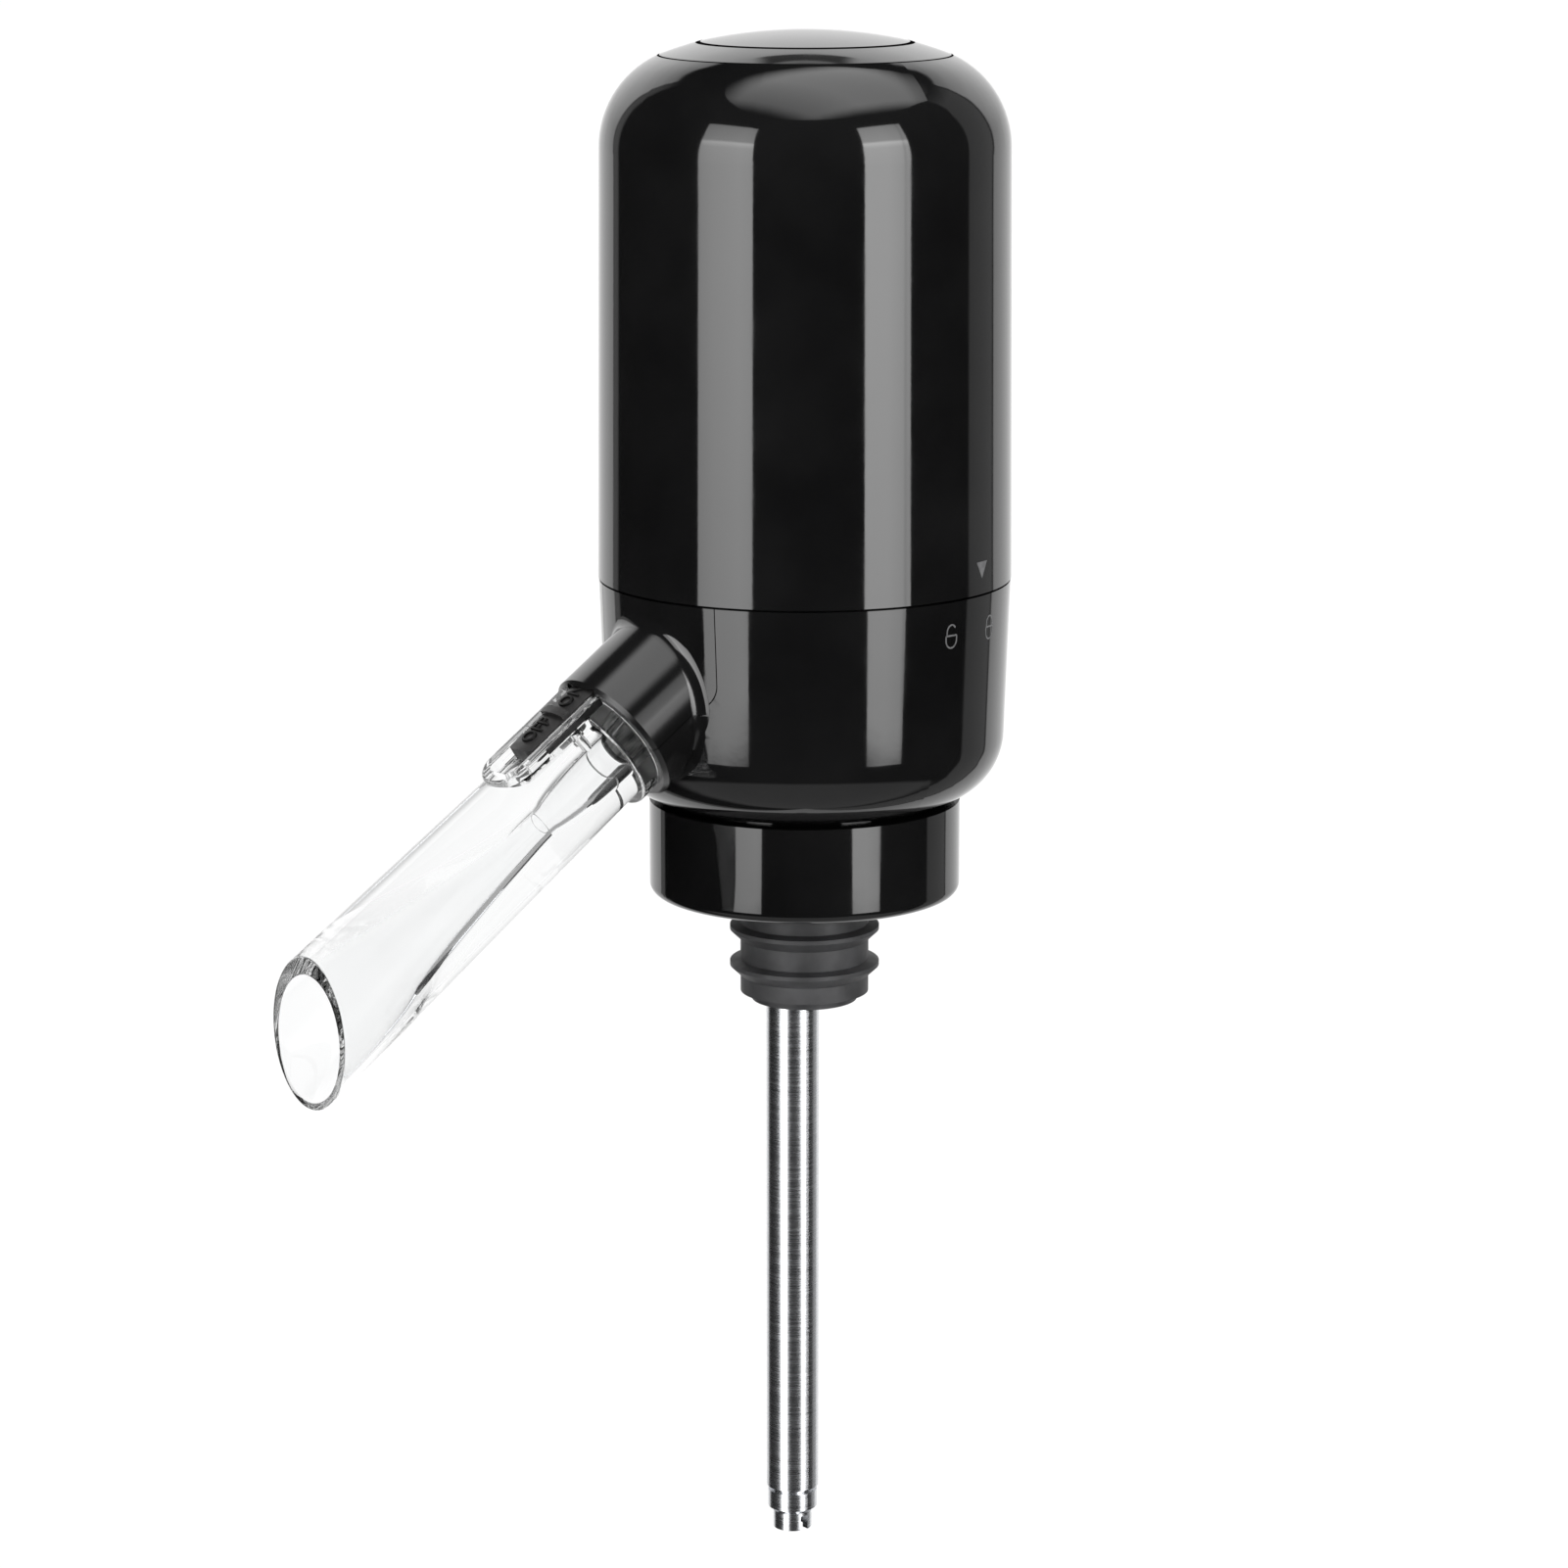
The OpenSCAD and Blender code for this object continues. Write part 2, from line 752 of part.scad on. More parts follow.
module stopper_stem() {
    color("#232326") difference() {
        rotate_extrude() {
            ring(0, stem_r, -stem_depth, stem_flange_z + eps);
            ring(0, stem_flange_r, stem_flange_z, cup_bottom_z);
            ring(0, tower_r, cup_bottom_z - eps, tower_top_z);
        }
        translate([0, wine_y, -stem_depth - 1]) cylinder(h = tube_top_z + stem_depth + 1, r = upper_r);
        translate([0, wine_y, 0]) cylinder(h = tower_top_z, r = elbow_bore_r);
        translate([0, wine_y, socket_floor_z]) cylinder(h = socket_depth + 1, r = elbow_r + fit_gap);
        translate([0, air_y, -stem_depth - 1]) cylinder(h = tower_top_z + stem_depth + 2, r = air_r);
    }
}

module bottle_stopper() {
    rib_r = stopper_rib_d / 2;
    sleeve_r = stem_r + sleeve_t;
    pitch = (stem_depth - 2 * rib_h) / stopper_ribs;
    color("#2a2a2d") rotate_extrude() {
        ring(stem_r, sleeve_r, -stem_depth + rib_h / 2, eps);
        ring(stem_r, finish_r - 2 * clear_gap, 0, web_z);
        for (i = [0 : stopper_ribs - 1]) {
            translate([0, -(i + 1) * pitch])
                polygon([[stem_r + eps, -rib_h / 2], [sleeve_r, -rib_h / 2], [rib_r, rib_h * 0.1],
                         [rib_r, rib_h * 0.35], [sleeve_r, rib_h / 2], [stem_r + eps, rib_h / 2]]);
        }
    }
}

module air_check_valve() {
    color("#8a8a8c") translate([0, air_y, tower_top_z]) {
        rotate_extrude() difference() {
            ring(0, 2 * air_r, 0, air_r);
            translate([2 * air_r, air_r]) circle(air_r * 0.7);
        }
        translate([0, 0, -2 * air_r]) cylinder(h = 2 * air_r + eps, r = air_r - fit_gap);
    }
}

// Wine path

module pipe_section(r_out) {
    difference() {
        circle(r_out);
        circle(elbow_bore_r);
    }
}

module wine_riser() {
    joint_z = seam_z + elbow_cz;
    color("#d8d8d4") translate([0, wine_y, 0]) rotate_extrude() difference() {
        union() {
            ring(elbow_bore_r, elbow_r, elbow_foot_z, joint_z);
            ring(elbow_bore_r, elbow_r + riser_rim, joint_z - riser_rim_h, joint_z);
        }
        ring(elbow_seal_r - seal_wire_r, elbow_r + 1, seal_z - seal_wire_r, seal_z + seal_wire_r);
    }
}

module wine_elbow() {
    color("#b8b8b4") at_seam() rotate([90, 0, -90]) translate([elbow_c, elbow_cz, 0])
        rotate([0, 0, 90 - spout_slope]) rotate_extrude(angle = elbow_turn)
        translate([elbow_bend_r, 0]) pipe_section(elbow_r);
}

module outlet_adapter() {
    flange_end = elbow_flange_u + elbow_flange_t;
    color("#d8d8d4") spout_frame() rotate_extrude() difference() {
        union() {
            ring(elbow_bore_r, elbow_r, elbow_end_u, flange_end);
            ring(elbow_bore_r, elbow_flange_r, elbow_flange_u, flange_end);
        }
        ring(face_seal_r - face_seal_wire_r - fit_gap, face_seal_r + face_seal_wire_r + fit_gap,
             spout_in - 2 * face_seal_wire_r, spout_in);
    }
}

module elbow_seal() {
    color("#3a3a3c") translate([0, wine_y, seal_z]) o_ring(elbow_seal_r + eps, seal_wire_r - eps);
}

module spout_seal() {
    color("#3a3a3c") spout_frame() translate([0, 0, spout_in - face_seal_wire_r])
        o_ring(face_seal_r, face_seal_wire_r);
}

module spout_bore_outline() {
    mouth_bore = mouth_r - mouth_wall;
    flare_u = throat_u + throat_l;
    flare_r = throat_d / 2 + throat_step;
    polygon([
        [0, spout_in - 1], [inlet_d / 2, spout_in - 1], [inlet_d / 2, converge_u],
        [throat_d / 2, throat_u], [throat_d / 2, flare_u], [flare_r, flare_u],
        [flare_r + waist_spread * (mouth_bore - flare_r), flare_u + waist_part * (flare_end_u - flare_u)],
        [mouth_bore, flare_end_u], [mouth_bore, spout_far_u + 1], [0, spout_far_u + 1]
    ]);
}

module spout() {
    color([0.9, 0.95, 0.97, 0.35]) difference() {
        spout_frame() union() {
            rotate([0, 0, -90]) rotate_extrude() {
                ring(0, spout_flange_r, spout_in, spout_in + spout_flange_t);
                ring(0, spout_r, spout_in, spout_tube_u);
                ring(0, spout_ring_r, spout_ring_u, spout_tube_u);
                polygon([[0, spout_tube_u], [spout_r, spout_tube_u], [mouth_r, flare_end_u],
                         [mouth_r, spout_far_u], [0, spout_far_u]]);
            }
            across_spout(spout_r / 2, rail_top) {
                translate([-rail_r, spout_ring_u]) square([2 * rail_r, rail_end - rail_r - spout_ring_u]);
                translate([0, rail_end - rail_r]) circle(rail_r);
            }
        }
        spout_frame() {
            translate([0, -bore_drop, 0]) rotate([0, 0, -90]) rotate_extrude() spout_bore_outline();
            slider_slot();
            translate([0, 0, air_hole_u]) rotate([-90, 0, 0]) cylinder(h = rail_top, r = air_hole_r);
        }
        translate([-body_r, -mouth_reach - body_d, seam_z - 2 * body_d]) cube([body_d, body_d, 2 * body_d]);
    }
}

// A flat strip along the spout whose outer corners are rounded
module strip(half_w, u0, u1, r) {
    translate([-half_w, u0]) square([2 * half_w, u1 - r - u0]);
    translate([r - half_w, u0]) square([2 * (half_w - r), u1 - u0]);
    for (side = [-1, 1]) {
        translate([side * (half_w - r), u1 - r]) circle(r, $fn = 48);
    }
}

module slider_slot() {
    slot_start = slider_start - slider_pocket_l;
    channel_r = seal_pad_r + seal_channel_gap;
    across_spout(slot_floor, rail_top + 1) strip(slot_r, slot_start, slot_end, slot_round);
    across_spout(slot_floor, slot_floor + slider_lip_h + 2 * slider_gap)
        translate([-slot_r - slider_lip, slot_start])
        square([2 * (slot_r + slider_lip), slider_lip_end + slider_travel + slider_gap - slot_start]);
    across_spout(slider_under - seal_pad_h - slider_gap, slot_floor + eps) {
        translate([-channel_r, air_hole_u]) square([2 * channel_r, slider_travel]);
        for (u = [air_hole_u, air_hole_u + slider_travel]) {
            translate([0, u]) circle(channel_r);
        }
    }
}

// Slider of the air switch

module switch_slider() {
    half_w = slider_w / 2;
    color("#333336") spout_frame() {
        intersection() {
            union() {
                across_spout(slider_under, slider_top)
                    strip(half_w, slider_start, slider_end, slider_round);
                across_spout(slider_under, slider_under + slider_lip_h)
                    translate([-half_w - slider_lip, slider_start])
                    square([slider_w + 2 * slider_lip, slider_lip_end - slider_start]);
            }
            translate([0, slider_top - slider_crown_r, 0]) cylinder(h = 2 * boss_end, r = slider_crown_r);
        }
        intersection() {
            across_spout(slider_under, slider_top + ridge_h)
                translate([-half_w, ridge_u - ridge_w / 2]) square([slider_w, ridge_w]);
            translate([0, slider_top + ridge_h - slider_crown_r, 0])
                cylinder(h = 2 * boss_end, r = slider_crown_r);
        }
    }
}

module switch_seal() {
    color("#1b1b1c") spout_frame() translate([0, slider_under - seal_pad_h, air_hole_u]) rotate([-90, 0, 0])
        cylinder(h = seal_pad_h, r = seal_pad_r);
}

// Deck

module deck_gasket() {
    color("#48484a") at_seam() rotate_extrude()
        ring(deck_ring_in + clear_gap, deck_ring_r - clear_gap, ledge_z, deck_ring_low);
}

module chassis_deck() {
    low_a = lug_angle / 2 + lug_slack;
    color("#26262a") at_seam() difference() {
        rotate_extrude() {
            ring(deck_ring_in, deck_ring_r, deck_ring_low, deck_ring_top);
            ring(0, deck_ring_in + eps, deck_z, deck_top_z);
        }
        for (i = [0 : lug_count - 1]) {
            rotate([0, 0, lug_start + i * 360 / lug_count - unlock_turn - low_a]) {
                rotate_extrude(angle = unlock_turn + lock_turn + 2 * low_a)
                    ring(deck_ring_in - 1, deck_ring_r + 1, lug_z - lug_gap, lug_z + lug_h + lug_gap);
                rotate_extrude(angle = 2 * low_a)
                    ring(deck_ring_in - 1, deck_ring_r + 1, lug_z - lug_gap, deck_ring_top + 1);
            }
        }
        translate([0, 0, deck_z - 1]) cylinder(h = deck_t + 2, r = nozzle_r + fit_gap);
        at_posts() translate([0, 0, deck_z - 1]) cylinder(h = deck_t + 2, r = deck_screw_r);
    }
}

module deck_screws() {
    color("silver") at_seam() at_posts() translate([0, 0, deck_top_z])
        screw(screw_head_r, screw_head_h, deck_pilot_r, deck_screw_l);
}

// Pump and motor

module at_lobes() {
    for (i = [0 : pump_lobes - 1]) {
        rotate([0, 0, i * 360 / pump_lobes]) translate([diaphragm_cup_ring, 0, 0]) children();
    }
}

module pump_head() {
    color("#ececea") at_seam() difference() {
        rotate_extrude() {
            ring(0, pump_r, deck_top_z, diaphragm_z);
            ring(0, nozzle_r, deck_top_z - nozzle_l, deck_top_z + eps);
        }
        translate([0, 0, deck_top_z - nozzle_l - 1])
            cylinder(h = nozzle_l + pump_head_h / 2 + 1, r = nozzle_bore_r);
        at_lobes() translate([0, 0, diaphragm_z - pump_head_h / 2])
            cylinder(h = pump_head_h, r = diaphragm_cup_r / 2);
    }
}

module pump_diaphragm() {
    color("#3d3d40") at_seam() {
        translate([0, 0, diaphragm_z]) cylinder(h = diaphragm_t, r = pump_r);
        at_lobes() translate([0, 0, case_z - eps])
            cylinder(h = diaphragm_cup_h + eps, r1 = diaphragm_cup_r, r2 = diaphragm_tip_r);
    }
}

module swash_plate() {
    color("#e4e2da") at_seam() difference() {
        union() {
            translate([0, 0, swash_z]) cylinder(h = swash_t, r = swash_hub_r);
            at_lobes() translate([0, 0, swash_z]) cylinder(h = swash_t, r = diaphragm_cup_r);
            translate([0, 0, swash_z + swash_t - eps]) cylinder(h = swash_hub_h + eps, r = swash_hub_r);
        }
        translate([0, 0, swash_z + swash_t + swash_hole_floor]) cylinder(h = swash_hub_h, r = swash_hole_r);
    }
}

module pump_case() {
    color("#ececea") at_seam() rotate_extrude() {
        ring(pump_r - case_t, pump_r, case_z, motor_z);
        ring(motor_boss_r + fit_gap, pump_r, motor_z - case_t, motor_z);
    }
}

module pump_crank() {
    color("#c8c8cc") at_seam() {
        translate([0, 0, crank_z]) cylinder(h = crank_h, r = crank_r);
        translate([0, 0, crank_z]) cylinder(h = motor_z - motor_boss_h + shaft_in - crank_z, r = shaft_r);
        translate([crank_throw, 0, crank_z - crank_pin_l]) cylinder(h = crank_pin_l + eps, r = crank_pin_r);
    }
}

module motor() {
    color("#b9bcc0") at_seam() {
        difference() {
            rotate_extrude() {
                ring(0, motor_r, motor_z, motor_top_z);
                ring(0, motor_boss_r, motor_z - motor_boss_h, motor_z + eps);
                ring(0, motor_boss_r, motor_top_z - eps, motor_top_z + motor_boss_h);
            }
            translate([0, 0, motor_z - motor_boss_h - 1]) cylinder(h = shaft_in + 2, r = shaft_r + run_gap);
        }
        for (side = [-1, 1]) {
            translate([side * tab_x - tab_w / 2, -tab_t / 2, motor_top_z - eps])
                cube([tab_w, tab_t, tab_l]);
        }
    }
}

module motor_leads() {
    for (side = [-1, 1]) {
        color(side > 0 ? "firebrick" : "#202022") at_seam()
            translate([side * tab_x, lead_r + tab_t / 2, lead_z])
            cylinder(h = board_z - lead_z, r = lead_r);
    }
}

// Batteries

module battery_cradle() {
    top_z = cradle_top_z + cradle_top_t;
    low_z = deck_top_z + cradle_plate_t;
    color("#2c2c30") at_seam() {
        difference() {
            union() {
                rotate_extrude() ring(cradle_in_r, cradle_low_r, deck_top_z, low_z);
                rotate_extrude() ring(cradle_hole_r, cradle_r, cradle_top_z, top_z);
                for (i = [0 : cell_count - 1]) {
                    rotate([0, 0, cell_start + (i + 0.5) * 360 / cell_count])
                        translate([cradle_in_r, -cradle_post_w / 2, deck_top_z])
                        cube([cradle_post_l, cradle_post_w, cradle_top_z - deck_top_z + eps]);
                }
            }
            at_cells() translate([0, 0, low_z]) cylinder(h = cradle_top_z - low_z, r = cell_r + cell_gap);
            at_posts() translate([0, 0, deck_top_z - 1])
                cylinder(h = screw_pocket_h + 1, r = screw_head_r + clear_gap);
            translate([0, 0, deck_top_z - 1]) cylinder(h = motor_top_z, r = cradle_in_r);
        }
        for (i = [0 : standoff_n - 1]) {
            rotate([0, 0, standoff_start + i * 360 / standoff_n])
                translate([standoff_ring, 0, top_z - eps])
                cylinder(h = board_z - top_z + eps, r = standoff_r);
        }
    }
}

module battery_cells() {
    color("#7d8c46") at_seam() at_cells() rotate_extrude() {
        ring(0, cell_r, cell_z, cell_z + cell_l);
        ring(0, nub_r, cell_z + cell_l - eps, cell_top_z);
    }
}

module battery_springs() {
    color("silver") at_seam() at_cells()
        coil(battery_spring_r0, battery_spring_r1, deck_top_z + cradle_plate_t, cell_z,
             battery_spring_wire / 2, battery_spring_turns);
}

module battery_plates() {
    color("silver") at_seam() at_cells() translate([-plate_w / 2, -plate_w / 2, cell_top_z])
        cube([plate_w, plate_w, contact_t]);
}

// Control board

module control_board() {
    color("#1f5b34") at_seam() translate([0, 0, board_z]) cylinder(h = board_t, r = board_r);
}

module board_components() {
    color("#18181a") at_seam() translate([0, 0, board_z + board_t]) {
        translate([chip_x, -chip_l / 2, 0]) cube([chip_w, chip_l, chip_h]);
        translate([-plug_x - plug_w, -plug_l / 2, 0]) cube([plug_w, plug_l, plug_h]);
        for (side = [-1, 1]) {
            translate([side * can_x, can_y, 0]) cylinder(h = can_h, r = can_r);
        }
    }
}

module tact_switch() {
    color("#2b2b2e") at_seam() difference() {
        translate([-switch_w / 2, -switch_w / 2, board_z + board_t]) cube([switch_w, switch_w, switch_h]);
        translate([0, 0, stem_tip_z - plunger_l - button_travel - fit_gap])
            cylinder(h = switch_h, r = plunger_r + run_gap);
    }
}

// Dip tube

module tube(r, bore, lip_bore, top_z, low_z) {
    translate([0, wine_y, 0]) rotate_extrude() {
        ring(bore, r, low_z, top_z);
        ring(lip_bore, r, low_z, low_z + tube_lip_h);
    }
}

module dip_tube_upper() {
    color("#c9ccd0") tube(upper_r, upper_bore, middle_r + tube_gap, tube_top_z, -tube_reach);
}

module sliding_tube(r, bore, lip_bore, bead_r, stage) {
    top_z = tube_top_z - stage * tube_drop;
    low_z = -tube_reach - stage * tube_step;
    tube(r, bore, lip_bore, top_z, low_z);
    translate([0, wine_y, 0]) rotate_extrude() {
        ring(bore, bead_r, top_z - bead_l, top_z);
        ring(lip_bore, r + grip_rim, low_z, low_z + grip_h);
    }
}

module dip_tube_middle() {
    color("#c9ccd0") sliding_tube(middle_r, middle_bore, lower_r + tube_gap, middle_bead_r, 1);
}

module dip_tube_lower() {
    low_z = -tube_reach - 2 * tube_step;
    color("#c9ccd0") difference() {
        sliding_tube(lower_r, lower_bore, lower_bore - eps, lower_bead_r, 2);
        translate([-upper_r, wine_y - inlet_slot_w / 2, low_z - 1])
            cube([2 * upper_r, inlet_slot_w, inlet_slot_h + 1]);
    }
}

upper_housing();
top_bezel();
power_button();
button_spring();
switch_plunger();
lower_housing();
spout_saddle();
collar();
collar_screws();
bottle_stopper();
stopper_stem();
air_check_valve();
wine_riser();
wine_elbow();
outlet_adapter();
elbow_seal();
spout_seal();
spout();
switch_slider();
switch_seal();
deck_gasket();
chassis_deck();
deck_screws();
pump_head();
pump_diaphragm();
swash_plate();
pump_case();
pump_crank();
motor();
motor_leads();
battery_cradle();
battery_cells();
battery_springs();
battery_plates();
control_board();
board_components();
tact_switch();
dip_tube_upper();
dip_tube_middle();
dip_tube_lower();
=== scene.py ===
import json
import math
import bmesh
import bpy
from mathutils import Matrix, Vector


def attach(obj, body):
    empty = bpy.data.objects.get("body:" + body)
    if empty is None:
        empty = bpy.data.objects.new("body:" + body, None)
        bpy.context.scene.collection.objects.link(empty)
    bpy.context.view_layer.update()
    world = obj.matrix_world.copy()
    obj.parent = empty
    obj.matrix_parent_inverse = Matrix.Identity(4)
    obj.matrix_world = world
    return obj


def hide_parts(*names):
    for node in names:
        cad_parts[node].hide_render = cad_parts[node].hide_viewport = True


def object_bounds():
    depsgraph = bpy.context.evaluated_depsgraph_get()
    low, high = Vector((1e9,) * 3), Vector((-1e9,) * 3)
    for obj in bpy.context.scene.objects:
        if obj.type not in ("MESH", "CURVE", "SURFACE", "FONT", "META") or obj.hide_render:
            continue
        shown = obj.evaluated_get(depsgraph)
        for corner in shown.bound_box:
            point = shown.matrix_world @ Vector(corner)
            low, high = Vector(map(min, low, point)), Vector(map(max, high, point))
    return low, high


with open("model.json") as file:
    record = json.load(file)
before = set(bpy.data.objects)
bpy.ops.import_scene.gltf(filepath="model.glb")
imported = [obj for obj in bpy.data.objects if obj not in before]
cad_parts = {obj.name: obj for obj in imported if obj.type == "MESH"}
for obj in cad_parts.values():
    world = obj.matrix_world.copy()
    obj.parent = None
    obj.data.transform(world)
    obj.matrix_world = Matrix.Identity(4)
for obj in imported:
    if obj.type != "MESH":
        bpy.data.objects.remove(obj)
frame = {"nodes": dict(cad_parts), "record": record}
cadLow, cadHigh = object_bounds()
nodes = frame["nodes"]
mm = 0.001
tiny = 0.001  # least gap between points in mm, and least divisor
print("frame loaded with", len(nodes), "nodes")


def newObject(name, data):
    made = bpy.data.objects.new(name, data)
    bpy.context.scene.collection.objects.link(made)
    return made


# camera

cameraSet = {
    "place": (485.5, -390.4, 140.96),  # mm
    "pitch": 12.31,  # degrees down
    "yaw": 0.25,  # degrees to the left of the barrel's axis
    "lens": 110.9,
    "sensor": 36,
    "clip": (0.01, 100),
}


def makeCamera(s):
    data = bpy.data.cameras.new("photoCamera")
    data.lens = s["lens"]
    data.sensor_width = s["sensor"]
    data.clip_start, data.clip_end = s["clip"]
    camera = newObject("photoCamera", data)
    x, y, z = s["place"]
    heading = math.atan2(-y, -x) + math.radians(s["yaw"])
    pitch = math.radians(s["pitch"])
    level = math.cos(pitch)
    ahead = Vector((math.cos(heading) * level, math.sin(heading) * level, -math.sin(pitch)))
    camera.location = Vector((x, y, z)) * mm
    camera.rotation_mode = "QUATERNION"
    camera.rotation_quaternion = ahead.to_track_quat("-Z", "Y")
    bpy.context.scene.camera = camera


makeCamera(cameraSet)
print("camera placed")

# spout frame in mm: u runs out along the spout, x is across it, v is up across it

axisSet = {"height": 36.199, "slope": 33.6}
slope = math.radians(axisSet["slope"])
spoutRoot = Vector((0, 0, axisSet["height"])) * mm
alongSpout = Vector((0, -math.cos(slope), -math.sin(slope)))
upSpout = Vector((0, -math.sin(slope), math.cos(slope)))
acrossSpout = Vector((1, 0, 0))


def spoutPoint(u, x, v):
    return spoutRoot + (alongSpout * u + acrossSpout * x + upSpout * v) * mm


# shader sums

def mathNode(tree, operation, a, b=0):
    node = tree.nodes.new("ShaderNodeMath")
    node.operation = operation
    for i, value in enumerate((a, b)):
        if isinstance(value, (int, float)):
            node.inputs[i].default_value = value
        else:
            tree.links.new(value, node.inputs[i])
    return node.outputs[0]


def plus(tree, a, b):
    return mathNode(tree, "ADD", a, b)


def minus(tree, a, b):
    return mathNode(tree, "SUBTRACT", a, b)


def times(tree, a, b):
    return mathNode(tree, "MULTIPLY", a, b)


def radiusOf(tree, a, b):
    return mathNode(tree, "SQRT", plus(tree, times(tree, a, a), times(tree, b, b)))


def splitPlace(tree, source):
    split = tree.nodes.new("ShaderNodeSeparateXYZ")
    tree.links.new(source, split.inputs[0])
    return split.outputs


def softStep(tree, value, start, end):
    step = tree.nodes.new("ShaderNodeMapRange")
    step.interpolation_type = "SMOOTHSTEP"
    step.inputs["From Min"].default_value = start
    step.inputs["From Max"].default_value = end
    tree.links.new(value, step.inputs["Value"])
    return step.outputs["Result"]


def glowRamp(tree, value, glow):
    # strength along a line of stops, which may pass 1
    peak = max(strength for spot, strength in glow)
    profile = tree.nodes.new("ShaderNodeValToRGB")
    stops = profile.color_ramp.elements
    while len(stops) < len(glow):
        stops.new(0.5)
    for stop, (spot, strength) in zip(stops, glow):
        stop.position = spot
        stop.color = (strength / peak,) * 3 + (1,)
    tree.links.new(value, profile.inputs["Fac"])
    return times(tree, profile.outputs["Color"], peak)


# finishes

plainStretch = (1, 1, 1)
grainSet = {
    "colourDetail": 3,
    "colourSpan": (0.35, 0.65),  # part of the noise over which the colour changes
    "roughDetail": 4,
    "roughSpan": (0.3, 0.7),
    "bumpDetail": 2,
    "bumpStrength": 0.35,
}


def newMaterial(name):
    material = bpy.data.materials.new(name)
    material.use_nodes = True
    tree = material.node_tree
    return material, tree, tree.nodes["Principled BSDF"]


def noise(tree, scale, detail, stretch=plainStretch):
    place = tree.nodes.new("ShaderNodeTexCoord")
    turn = tree.nodes.new("ShaderNodeMapping")
    turn.inputs["Scale"].default_value = stretch
    grain = tree.nodes.new("ShaderNodeTexNoise")
    grain.inputs["Scale"].default_value = scale
    grain.inputs["Detail"].default_value = detail
    tree.links.new(place.outputs["Object"], turn.inputs["Vector"])
    tree.links.new(turn.outputs["Vector"], grain.inputs["Vector"])
    return grain.outputs["Fac"]


def ramp(tree, source, low, high):
    colours = tree.nodes.new("ShaderNodeValToRGB")
    stops = colours.color_ramp.elements
    for stop, spot, colour in zip(stops, grainSet["colourSpan"], (low, high)):
        stop.position = spot
        stop.color = (*colour, 1)
    tree.links.new(source, colours.inputs["Fac"])
    return colours.outputs["Color"]


def shade(tree, shader, low, high, scale, stretch=plainStretch):
    grain = noise(tree, scale, grainSet["colourDetail"], stretch)
    tree.links.new(ramp(tree, grain, low, high), shader.inputs["Base Color"])


def roughen(tree, shader, low, high, scale, stretch):
    grain = noise(tree, scale, grainSet["roughDetail"], stretch)
    spread = tree.nodes.new("ShaderNodeMapRange")
    start, end = grainSet["roughSpan"]
    spread.inputs["From Min"].default_value = start
    spread.inputs["From Max"].default_value = end
    spread.inputs["To Min"].default_value = low
    spread.inputs["To Max"].default_value = high
    tree.links.new(grain, spread.inputs["Value"])
    tree.links.new(spread.outputs["Result"], shader.inputs["Roughness"])


def emboss(tree, shader, scale, depth, strength, stretch):
    bump = tree.nodes.new("ShaderNodeBump")
    bump.inputs["Strength"].default_value = strength
    bump.inputs["Distance"].default_value = depth
    grain = noise(tree, scale, grainSet["bumpDetail"], stretch)
    tree.links.new(grain, bump.inputs["Height"])
    tree.links.new(bump.outputs["Normal"], shader.inputs["Normal"])


